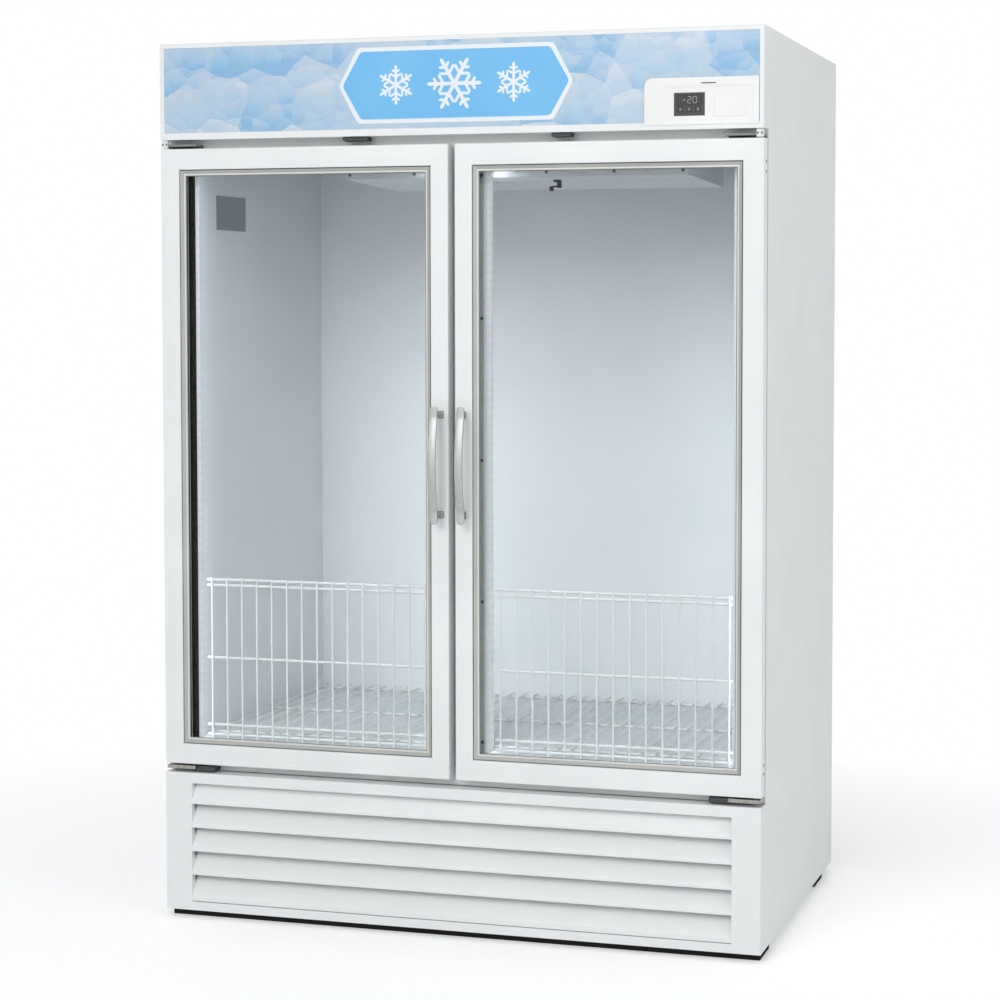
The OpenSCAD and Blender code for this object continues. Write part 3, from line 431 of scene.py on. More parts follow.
def galvanised(name):
    """Hot-dip galvanised sheet: zinc crystals about 12 mm across, each of its own grey and gloss."""
    finish, tree, out, place = new_finish(name)
    warp = noise(tree, place, 9, 2.0)
    # the crystals' edges wander by up to 6 mm
    shift = add_node(tree, "ShaderNodeMath", {0: warp, 1: 0.006}, operation="MULTIPLY")
    nudged = add_node(tree, "ShaderNodeVectorMath", {0: place, 1: shift.outputs[0]}, operation="ADD")
    cells = add_node(tree, "ShaderNodeTexVoronoi", {"Vector": nudged.outputs[0], "Scale": 1000 / 12})
    tone = add_node(tree, "ShaderNodeSeparateColor", {"Color": cells.outputs["Color"]}).outputs["Red"]
    shader = add_node(
        tree,
        "ShaderNodeBsdfPrincipled",
        {
            "Base Color": between(tree, tone, "#9aa09f", "#bcc1c0", 0.0, 1.0),
            "Metallic": 0.85,
            "Roughness": between(tree, tone, 0.38, 0.55, 0.0, 1.0),
            "Normal": bump(tree, warp, 0.03),
        },
    )
    tree.links.new(shader.outputs[0], out.inputs["Surface"])
    return finish


def sheet_glass(name, tint="#fdfefe"):
    """Float glass with a clear anti-fog film, so that it mirrors less than bare glass: smooth, nearly
    without colour, letting the lamps' light through."""
    finish, tree, out, place = new_finish(name)
    waves = noise(tree, place, 400, 1.0)
    clear = add_node(
        tree,
        "ShaderNodeBsdfPrincipled",
        {
            "Base Color": between(tree, waves, tint, "#fefeff"),
            "Roughness": 0.0,
            "IOR": 1.5,
            "Specular Tint": colour("#595959"),
            "Transmission Weight": 1.0,
        },
    )
    through = add_node(tree, "ShaderNodeBsdfTransparent", {"Color": colour(tint)})
    ray = add_node(tree, "ShaderNodeLightPath").outputs["Is Shadow Ray"]
    mixed = add_node(tree, "ShaderNodeMixShader", {0: ray, 1: clear.outputs[0], 2: through.outputs[0]})
    tree.links.new(mixed.outputs[0], out.inputs["Surface"])
    return finish


def lit_lens(name, strength):
    """A frosted lamp cover: brighter over each lamp of the strip behind it, every 20 mm."""
    finish, tree, out, place = new_finish(name)
    height = add_node(tree, "ShaderNodeSeparateXYZ", {0: place}).outputs["Z"]
    wave = add_node(tree, "ShaderNodeMath", {0: height, 1: 2 * pi / 0.020}, operation="MULTIPLY")
    spots = add_node(tree, "ShaderNodeMath", {0: wave.outputs[0]}, operation="SINE").outputs[0]
    shader = add_node(
        tree,
        "ShaderNodeBsdfPrincipled",
        {
            "Base Color": colour("#cdd0d0"),
            "Roughness": 0.45,
            "Emission Color": between(tree, spots, "#dfe9f2", "#ffffff", -1.0, 1.0),
            "Emission Strength": strength,
            "Normal": bump(tree, noise(tree, place, 3), 0.05),
        },
    )
    tree.links.new(shader.outputs[0], out.inputs["Surface"])
    return finish


def ice_print(name, tones):
    """A print of piled clear ice under acrylic: chunks 60 to 100 mm across, each with its own tint that
    pales towards one side, broken by smaller chips and a soft haze."""
    finish, tree, out, place = new_finish(name)
    # a print has no depth: the pattern is the same all through it, and leans a little
    flat = add_node(
        tree, "ShaderNodeMapping", {"Vector": place, "Scale": (1.0, 0.0, 1.25), "Rotation": (0, 0.45, 0)}
    ).outputs[0]
    haze = add_node(tree, "ShaderNodeTexNoise", {"Vector": flat, "Scale": 11.0, "Detail": 4.0})
    spot = add_node(
        tree,
        "ShaderNodeVectorMath",
        {0: haze.outputs["Color"], 1: (0.035, 0.0, 0.035), 2: flat},
        operation="MULTIPLY_ADD",
    ).outputs[0]
    tone = None
    # the chunks, then the chips: cells to a metre, share of the tone, and how strongly each pales
    for scale, share, lean in ((10.0, 0.66, 4.0), (25.0, 0.34, 7.0)):
        chunk = add_node(tree, "ShaderNodeTexVoronoi", {"Vector": spot, "Scale": scale})
        pick = add_node(tree, "ShaderNodeSeparateColor", {"Color": chunk.outputs["Color"]}).outputs["Red"]
        off = add_node(
            tree, "ShaderNodeVectorMath", {0: spot, 1: chunk.outputs["Position"]}, operation="SUBTRACT"
        ).outputs[0]
        slope = add_node(
            tree, "ShaderNodeVectorMath", {0: off, 1: (lean, 0.0, lean * 1.6)}, operation="DOT_PRODUCT"
        ).outputs["Value"]
        lit = add_node(tree, "ShaderNodeMath", {0: pick, 1: slope}, operation="ADD").outputs[0]
        base = tone if tone else 0.0
        tone = add_node(
            tree, "ShaderNodeMath", {0: lit, 1: share, 2: base}, operation="MULTIPLY_ADD"
        ).outputs[0]
    soft = add_node(
        tree, "ShaderNodeMath", {0: haze.outputs["Fac"], 1: 0.5, 2: -0.25}, operation="MULTIPLY_ADD"
    ).outputs[0]
    tone = add_node(tree, "ShaderNodeMath", {0: tone, 1: soft}, operation="ADD").outputs[0]
    ramp = add_node(tree, "ShaderNodeValToRGB", {"Fac": tone})
    for i, tint in enumerate(tones):
        stop = ramp.color_ramp.elements[i] if i < 2 else ramp.color_ramp.elements.new(1.0)
        stop.position = i / (len(tones) - 1)
        stop.color = colour(tint)
    shader = add_node(
        tree,
        "ShaderNodeBsdfPrincipled",
        {
            "Base Color": ramp.outputs["Color"],
            "Roughness": 0.35,
            "Coat Weight": 0.2,
            "Coat Roughness": 0.08,
            "Normal": bump(tree, haze.outputs["Fac"], 0.02),
        },
    )
    tree.links.new(shader.outputs[0], out.inputs["Surface"])
    return finish


FINISHES = {}


def make_finishes(colours):
    """Every finish of the freezer, by name. Painted grain is drawn about 5 mm wide, coarser than the
    real 1 mm, so that it shows at all."""
    paint, sheet = colours.paint, colours.liner
    ice = ["#86b7dc", "#a4c6e0", "#b4cde1", "#bccedf", "#cbdae6"]
    FINISHES.update(
        # polyester powder coat on steel: half-gloss white with a slight orange peel
        powder_coat=coated("white_powder_coated_steel", paint, "#f1f3f3", 0.42, 5, 0.05),
        # coil-coated sheet: smoother than powder coat, faintly wavy where it is foamed behind
        side_sheet=coated("white_coil_coated_steel", paint, "#f0f2f1", 0.40, 60, 0.25),
        # moulded ABS of the handle feet: an even mid grey, softer in its highlight than paint
        foot_grey=coated("grey_moulded_abs", "#8d9090", "#979a9a", 0.45, 3, 0.04),
        # coated sheet of the cavity: satin, cold white
        liner_sheet=coated("white_coated_liner_sheet", sheet, "#f4f6f8", 0.38, 8, 0.04),
        # extruded and powder-coated aluminium door profile: crisp edges that hold a line of light
        door_paint=coated("white_powder_coated_aluminium", paint, "#f3f5f5", 0.36, 4, 0.03),
        # dipped in zinc: crystals in their own greys
        galvanised=galvanised("hot_dip_galvanised_steel"),
        # textured black paint on the base rails: a coarse grain that mirrors nothing
        black_paint=coated("black_textured_powder_coat", "#0f0f10", "#151516", 0.65, 4, 0.12, 0.2),
        # extruded rigid PVC: smooth, a tone greyer than the paint beside it
        mullion_cover=coated("white_rigid_pvc_extrusion", "#dfe2e1", "#e7e9e8", 0.35, 12, 0.03),
        # injection-moulded ABS with a fine spark-eroded grain: an even satin
        white_abs=coated("white_moulded_abs", "#f0f0ef", "#f4f4f3", 0.36, 3, 0.04),
        black_abs=coated("black_moulded_abs", "#151617", "#1c1d1e", 0.42, 3, 0.06),
        # moulded rubber: dull dark grey without a highlight
        stop_rubber=coated("dark_grey_moulded_rubber", "#3f4242", "#4a4d4d", 0.6, 4, 0.06, 0.4),
        # textured ABS of the lamp housings: black that stays black beside a lit lens
        matt_black=coated("black_textured_abs", "#0b0b0a", "#0f0f0e", 0.75, 4, 0.03, 0.1),
        # moulded ABS of the controller: charcoal satin
        dark_abs=coated("dark_grey_moulded_abs", "#2b2c2e", "#333436", 0.38, 3, 0.05),
        # cast smoked acrylic: near black, mirror smooth under a clear coat
        smoked=coated("smoked_acrylic_window", "#0d1012", "#121517", 0.10, 40, 0.01, 0.6, 0.5),
        # silicone rubber keys with a printed mark: dull grey, the mark paler
        key_rubber=coated("grey_silicone_rubber", "#47494a", "#505253", 0.6, 2, 0.04, 0.4),
        key_ink=coated("grey_key_print", "#9c9e9e", "#a6a8a8", 0.5, 4, 0.01),
        # co-extruded bead round the glass: satin grey; its ridge is paler, partly as its own lighter PVC and
        # partly as a painted highlight along the glass
        bead=coated("grey_rigid_pvc_bead", "#b4b5b1", "#bfc0bc", 0.42, 12, 0.03),
        ridge=coated("pale_pvc_ridge_with_painted_highlight", "#dbdbd6", "#e3e3de", 0.36, 12, 0.03),
        # warm-edge spacer between the panes: a dull black line
        spacer=coated("black_warm_edge_spacer", "#202121", "#2a2b2b", 0.6, 6, 0.02),
        # soft PVC bellows: dull mid grey
        gasket=coated("grey_soft_pvc_gasket", "#8f9395", "#9b9fa1", 0.62, 5, 0.08, 0.4),
        # bright zinc plating: a grey shine with soft patches
        zinc=metal("bright_zinc_plated_steel", "#8f908c", "#acaca7", 0.34, 7, depth=0.03),
        # stainless brushed along its length: highlights drawn out up and down the handle
        stainless=metal("satin_brushed_stainless", "#a9abab", "#babcbc", 0.48, 2.5, (1, 1, 40), spread=0.05),
        # rolled aluminium fins: bright, slightly uneven
        fins=metal("aluminium_fin_stock", "#b4b8ba", "#cbced0", 0.32, 9),
        # drawn copper: warm red-brown with long soft marks
        copper=metal("drawn_copper_tube", "#a8603a", "#c57a4e", 0.36, 14, depth=0.02),
        # mill-finish sheet: pale blue-grey, marked along the way it was rolled
        grey_plate=metal("bare_mill_finish_sheet", "#aab1b5", "#bac0c4", 0.45, 5, (1, 30, 1)),
        # baked black enamel on the compressor's drawn shell: deep black gloss
        enamel=coated("black_baked_enamel", "#141414", "#1b1b1b", 0.28, 9, 0.05),
        # moulded fan plastic: plain satin grey
        fan_plastic=coated("grey_moulded_fan_plastic", "#85898b", "#929698", 0.45, 4, 0.04),
        # cast housing under paint: dark and slightly pebbled
        motor_paint=coated("dark_cast_motor_housing", "#3a3c3e", "#47494b", 0.5, 3, 0.08),
        # poured polyurethane foam: straw yellow, rough and quite dull
        foam=coated("polyurethane_foam", "#dfcf95", "#e8dcae", 0.9, 4, 0.6, 0.2),
        # steel wire dipped in white epoxy: thick, glossy, slightly uneven
        wire=coated("white_epoxy_dipped_wire", "#eef0ef", "#f3f4f3", 0.30, 7, 0.02),
        # float glass: clear, with a weak mirror image of the surround
        glass=sheet_glass("clear_float_glass"),
        # frosted lens: barely lit on the side seen from the front, bright where it faces the cavity
        lens=lit_lens("frosted_lamp_lens", 0.25),
        lit_lens=lit_lens("lit_frosted_lamp_lens", colours.lamp_strength),
        # opal cover of the lamp behind the sign: unlit, creamy
        dull_lamp=coated("opal_lamp_cover", "#f1efe6", "#f8f6ee", 0.45, 5, 0.02),
        # film printed behind acrylic: pale blue chunks of ice under a thin gloss
        sign_print=ice_print("ice_print_under_acrylic", ice),
        # screen-printed inks: flat and even, with the sign's gloss over them
        sky_ink=coated("sky_blue_print", colours.band, "#6dbdee", 0.34, 30, 0.01, 0.5, 0.25),
        white_ink=coated("white_print", "#e6ecf1", "#ecf1f5", 0.34, 30, 0.01, 0.5, 0.25),
        # display segment that is barely lit: plain mid grey
        digit=coated("grey_display_segment", "#8f9293", "#989b9c", 0.4, 6, 0.01),
        # phosphated steel screws: dark dull metal
        plated_grey=metal("grey_phosphated_steel", "#6d7070", "#828584", 0.5, 6),
        # top hinges: mid grey satin; the grey is painted shade, as the plates sit in the shadow under the
        # header
        painted_grey=coated("grey_hinge_steel_painted_shade", "#767b79", "#828785", 0.45, 5, 0.04),
        # extruded rubber beside the bead: a dull grey line; at the frame's edge its dark grey is also painted
        # shade for the gap between frame and bead
        wedge=coated("grey_glazing_rubber_and_gap_shade", "#6e7271", "#7b7f7e", 0.65, 5, 0.05, 0.4),
        # painted shadow: a dark film laid into the bezel's shallow slot as the shade inside it
        slot_shadow=coated("painted_slot_shadow", "#5c5d5d", "#666767", 0.8, 5, 0.02, 0.2),
    )


# ---- what a user would change ----


class FreezerColours(bpy.types.PropertyGroup):
    paint: bpy.props.StringProperty(
        name="White paint",
        description="Powder coat of the cabinet and doors, as an sRGB hex",
        default="#ecefef",
    )
    liner: bpy.props.StringProperty(
        name="Liner", description="Coated sheet inside the cavity, as an sRGB hex", default="#eff3f6"
    )
    band: bpy.props.StringProperty(
        name="Sign band", description="Printed band on the sign, as an sRGB hex", default="#5fb4ec"
    )
    lamp_strength: bpy.props.FloatProperty(
        name="Lamp strength", description="Glow of the door lamps", default=9.5, min=0, max=20
    )


class FreezerSizes(bpy.types.PropertyGroup):
    mitre_gap: bpy.props.FloatProperty(
        name="Mitre gap", description="Half the joint line in a door's corner", default=0.00005, unit="LENGTH"
    )
    profile_edge: bpy.props.FloatProperty(
        name="Profile edge",
        description="Rounding of the door profile's outer edge",
        default=0.0028,
        unit="LENGTH",
    )
    handle_ease: bpy.props.FloatProperty(
        name="Handle edge", description="Rounding along the handle's strap", default=0.0016, unit="LENGTH"
    )
    sheet_bend: bpy.props.FloatProperty(
        name="Sheet bend", description="Outer bend of the louvre slats", default=0.003, unit="LENGTH"
    )
    band_width: bpy.props.FloatProperty(
        name="Band width", description="Length of the sign's blue band", default=0.52, unit="LENGTH"
    )
    band_height: bpy.props.FloatProperty(
        name="Band height", description="Height of the sign's blue band", default=0.148, unit="LENGTH"
    )


class FreezerStage(bpy.types.PropertyGroup):
    key: bpy.props.FloatProperty(
        name="Key light", description="Power of the front light", default=300, unit="POWER"
    )
    fill: bpy.props.FloatProperty(
        name="Fill light", description="Power of the right light", default=45, unit="POWER"
    )
    sky: bpy.props.FloatProperty(
        name="Sky", description="Strength of the even light all round", default=0.45, min=0
    )
    floor_lift: bpy.props.FloatProperty(
        name="Floor lift", description="White added to the floor as the camera sees it", default=0.31, min=0
    )


# ---- the operators, one for each group of pieces ----


class BuildFinishes(bpy.types.Operator):
    """Makes every finish"""

    bl_idname = "freezer.finishes"
    bl_label = "Finishes"

    def execute(self, context):
        make_finishes(context.scene.freezer_colours)
        return {"FINISHED"}


class BuildCabinet(bpy.types.Operator):
    """Dresses the outer panels, the cabinet face, the liner and the insulation"""

    bl_idname = "freezer.cabinet"
    bl_label = "Cabinet"

    def execute(self, context):
        for side in ("left", "right"):
            eased_copy(f"{side}_side_panel", 0.4, "side_sheet")
        eased_copy("top_panel", 0.4, "side_sheet")
        eased_copy("cabinet_face", 0.3, "powder_coat")
        eased_copy("mullion", 1.6, "mullion_cover", 3)
        finish_node("back_panel", "galvanised")
        finish_node("liner", "liner_sheet")
        finish_node("foam_insulation", "foam")
        return {"FINISHED"}


class BuildBase(bpy.types.Operator):
    """Dresses the base rails, the base pan and the rear cover"""

    bl_idname = "freezer.base"
    bl_label = "Base"

    def execute(self, context):
        eased_copy("base_rails", 1.2, "black_paint")
        finish_node("base_pan", "galvanised")
        eased_copy("rear_vent_cover", 0.3, "galvanised")
        return {"FINISHED"}


def slat_outline(z, rise, depth, lip, down, thickness, bend):
    """One slat's section: a sheet that stands up for the lip and then leans back to the depth; its lower
    edge can hang further down."""
    outer = [(1, z - down), (1, z + lip), (depth, z + rise), (depth, z + rise - thickness * 1.6)]
    inner = [(1 + thickness, z + lip - thickness * 0.3), (1 + thickness, z - down)]
    return rounded(outer + inner, [0.35, bend, 0.3, 0.3, bend * 0.8, 0.35], 5)


class BuildLouvre(bpy.types.Operator):
    """Makes the lower front panel and its five slats of bent sheet"""

    bl_idname = "freezer.louvre"
    bl_label = "Louvre"

    def execute(self, context):
        bend = context.scene.freezer_sizes.sheet_bend * 1000
        x0, x1, d0, d1, z0, z1 = span("louvre_slats")
        rise, lip, sheet, count = 52.2, 7.0, 1.2, 5
        pitch = (z1 - z0 - rise) / (count - 1)
        slats = []
        for i in range(count):
            down = 5.5 if i == 0 else 0  # the lowest slat's lip reaches down to the sill
            slats.append(along_x(slat_outline(z0 + i * pitch, rise, d1, lip, down, sheet, bend), x0, x1))
        make_piece("louvre_slats_bent", slats, ["powder_coat"], "cabinet", ("louvre_slats",))
        eased_copy("front_panel", 0.4, "powder_coat")
        return {"FINISHED"}


def flake(x, z, radius, width, depth, turn=0.0):
    """A six-fold ice crystal: an arm every 60 degrees, and on each arm two pairs of branches at 60 degrees
    to it. Each bar's face stands a little apart from the others', so that no two lie in one plane."""
    parts, back = [], 1.25  # every bar ends at this depth, inside the band
    for arm in range(6):
        angle = turn + arm * pi / 3
        way = np.array([np.cos(angle), np.sin(angle)])
        middle = np.array([x, z])
        tip = middle + way * radius
        bar = bar_outline(middle - way * width * 0.2, tip, width)
        parts.append(plate(bar, depth + 0.01 * arm, back, FILM_EASE))
        for place, length in ((0.42, 0.34), (0.68, 0.22)):
            root = middle + way * radius * place
            for side in (-1, 1):
                lean = angle + side * pi / 3
                end = root + radius * length * np.array([np.cos(lean), np.sin(lean)])
                level = depth + 0.08 + 0.01 * arm + 0.005 * side
                parts.append(plate(bar_outline(root, end, width * 0.8), level, back, FILM_EASE))
    return parts


class BuildHeader(bpy.types.Operator):
    """Makes the header frame and its sign: an ice ground with a plain band of ice crystals"""

    bl_idname = "freezer.header"
    bl_label = "Header"

    def execute(self, context):
        sizes = context.scene.freezer_sizes
        eased_copy("header_frame", 0.4, "powder_coat")
        finish_node("sign_panel", "sign_print")
        finish_node("sign_lamp", "dull_lamp")
        z0, z1 = span("header_frame")[4:]
        x, z = 8, (z0 + z1) / 2 + 3  # the band's middle stands a little right of and above the sign's
        half, high = sizes.band_width * 500, sizes.band_height * 500
        point, edge = high * 0.58, 9  # the pointed ends' length and the white rim's width
        band = [(-half, 0), (-half + point, -high), (half - point, -high), (half, 0), (half - point, high)]
        band.append((-half + point, high))
        rim = np.array(band) * [1 + edge / half, 1 + edge / high] + [x, z]
        print_area = np.array(band) + [x, z]
        rim_film = plate(rounded(rim, 8), 1.06, 1.3, FILM_EASE)
        band_film = plate(rounded(print_area, 7), 0.98, 1.28, FILM_EASE)
        make_piece("sign_band_rim", [rim_film], ["white_ink"], "cabinet")
        make_piece("sign_band", [band_film], ["sky_ink"], "cabinet")
        flakes = flake(x, z, high * 0.80, 8, 0.8)
        for side in (-1, 1):
            flakes += flake(x + side * half * 0.52, z, high * 0.55, 6, 0.8, pi / 6)
        make_piece("sign_flakes", flakes, ["white_ink"], "cabinet")
        # the door switches: a dark block under the header over each door's middle
        for name, x0, x1 in (("left", -255, -198), ("right", 226, 268)):
            block = rounded(corners_of(x0, x1, z0 - 9.5, z0), 1.5)
            foot = rounded(corners_of(x0 + 20, x1 - 14, z0 - 3, z0), 1)
            parts = [plate(block, 8, 38, 1.0), plate(foot, 3, 10, 0.8)]
            make_piece(f"{name}_door_switch", parts, ["stop_rubber"], "cabinet")
        return {"FINISHED"}


SEGMENTS = {  # the bars of a seven-segment digit that are lit: top, sides, middle, bottom
    "-": "g",
    "2": "abged",
    "0": "abcdef",
}


def digit_bars(symbol, x, z, width, height, bar, d0, d1):
    """Seven-segment bars of one symbol, each a bar with pointed ends."""
    left, right, mid, top = x, x + width, z + height / 2, z + height
    ends = {
        "a": ((left, top), (right, top)),
        "b": ((right, mid), (right, top)),
        "c": ((right, z), (right, mid)),
        "d": ((left, z), (right, z)),
        "e": ((left, z), (left, mid)),
        "f": ((left, mid), (left, top)),
        "g": ((left, mid), (right, mid)),
    }
    parts = []
    for name in SEGMENTS[symbol]:
        a, b = np.array(ends[name], float)
        way = (b - a) / np.linalg.norm(b - a)
        parts.append(plate(bar_outline(a + way * bar * 0.62, b - way * bar * 0.62, bar), d0, d1, FILM_EASE))
    return parts


class BuildController(bpy.types.Operator):
    """Makes the bezel, the display with its digits, the keys and the blanking cover"""

    bl_idname = "freezer.controller"
    bl_label = "Controller"

    def execute(self, context):
        x0, x1, d0, d1, z0, z1 = span("controller_bezel")
        cx0, cx1, cd0, cd1, cz0, cz1 = span("controller")
        outer = rounded(corners_of(x0, x1, z0, z1), [2, 1.5, 2, 18], 8)
        field = rounded(corners_of(x0 + 39, cx1 + 105, z0 + 5, z1 - 18), 9, 8)
        hole = rounded(corners_of(cx0, cx1, cz0, cz1), 0.4, 8)
        loops = [(outer, 0.0), (outer, d0 + 1.4), (set_in(outer, 0.5), d0 + 0.4), (set_in(outer, 1.6), d0)]
        loops += [(set_in(field, -1.5), d0), (field, d0 + 0.25), (set_in(field, 2.2), d0 + 0.9)]
        loops += [(set_in(field, 3.6), d0 + 1), (hole, d0 + 1), (hole, 0.0)]
        moulding, node = [stacked(loops, True)], "controller_bezel"
        make_piece("bezel_moulding", moulding, ["white_abs"], "cabinet", (node,))
        # a dark film in the slot paints the slot's shadow
        slot = rounded(corners_of(cx0 + 58, cx0 + 91, z1 - 14, z1 - 11.5), 1.1)
        slot = [plate(slot, d0 - 0.03, d0 + 0.5, FILM_EASE)]
        make_piece("bezel_slot", slot, ["slot_shadow"], "cabinet")
        bx0, bx1, bd0, bd1, bz0, bz1 = span("blanking_cover")
        lid = rounded(corners_of(bx0, bx1, bz0, bz1), 6, 8)
        loops = [(lid, bd0 + 2.2), (lid, bd0 + 1.4), (set_in(lid, 0.6), bd0 + 0.5), (set_in(lid, 2.2), bd0)]
        lid = [stacked(loops)]
        make_piece("blanking_lid", lid, ["white_abs"], "cabinet", ("blanking_cover",))
        eased_copy("controller", 0.5, "dark_abs")
        window = rounded(corners_of(cx0 + 4, cx1 - 4, cz0 + 22.5, cz1 - 4), 2.2)
        window = [plate(window, cd0 - 0.4, cd0 + 0.6, 0.25)]
        make_piece("display_window", window, ["smoked"], "cabinet")
        digits, left, pitch = [], (cx0 + cx1) / 2 - 15, 11.5
        for symbol in "-20":
            digits += digit_bars(symbol, left, cz0 + 27, 7.5, 13.5, 1.7, cd0 - 0.5, cd0 - 0.3)
            left += pitch
        make_piece("display_digits", digits, ["digit"], "cabinet")
        for key, mark in (("down", -1), ("up", 1), ("set", 0)):
            kx0, kx1, kd0, kd1, kz0, kz1 = span(f"key_{key}")
            cap = plate(rounded(corners_of(kx0, kx1, kz0, kz1), 2.4), kd0, kd1, 0.7)
            make_piece(f"{key}_key_cap", [cap], ["key_rubber"], f"{key}_key", (f"key_{key}",))
            x, z = (kx0 + kx1) / 2, (kz0 + kz1) / 2
            if mark:
                sign = [(x - 2.6, z - 1.4 * mark), (x + 2.6, z - 1.4 * mark), (x, z + 2.6 * mark)]
            else:
                sign = [(x + 2 * np.cos(a), z + 2 * np.sin(a)) for a in np.arange(16) * pi / 8]
            sign = [plate(sign, kd0 - 0.02, kd0 + 0.3, 0.01)]
            make_piece(f"{key}_key_mark", sign, ["key_ink"], f"{key}_key")
        return {"FINISHED"}


class BuildHinges(bpy.types.Operator):
    """Dresses the hinge plates with their pins and the stop blocks"""

    bl_idname = "freezer.hinges"
    bl_label = "Hinges"

    def execute(self, context):
        # the top hinges' mid grey is painted shade from the header above them
        eased_copy("top_hinges", 0.7, "painted_grey")
        eased_copy("bottom_hinges", 0.7, "zinc")
        eased_copy("hinge_stops", 1.6, "stop_rubber", 3)
        x0, x1, d0, d1, z0, z1 = span("top_hinges")
        gap_z0, gap_z1 = span("left_door_frame")[5] + 1.5, span("header_frame")[4] - 1.5
        for side, end in ((-1, x0), (1, x1)):
            reach = np.array([end + side * 1, end - side * 14])
            cap = rounded(corners_of(reach.min(), reach.max(), gap_z0, gap_z1), 2.2)
            name = "left" if side < 0 else "right"
            face, middle = d0 - 1.2, (gap_z0 + gap_z1) / 2
            parts = [plate(cap, face, d0 + 9, 0.8)]
            head = [(2.4, 0), (2.1, -0.7), (1.0, -0.9), (0.9, -0.3), (0.1, -0.3)]
            parts += [(*turned(end + side * at, face, middle, head, 24), 1) for at in (-2.2, -11.2)]
            # the caps take the PVC finish, greyer than their white plastic, as painted shade in the gap under
            # the header
            make_piece(f"{name}_hinge_cap", parts, ["mullion_cover", "plated_grey"], "cabinet")
        return {"FINISHED"}


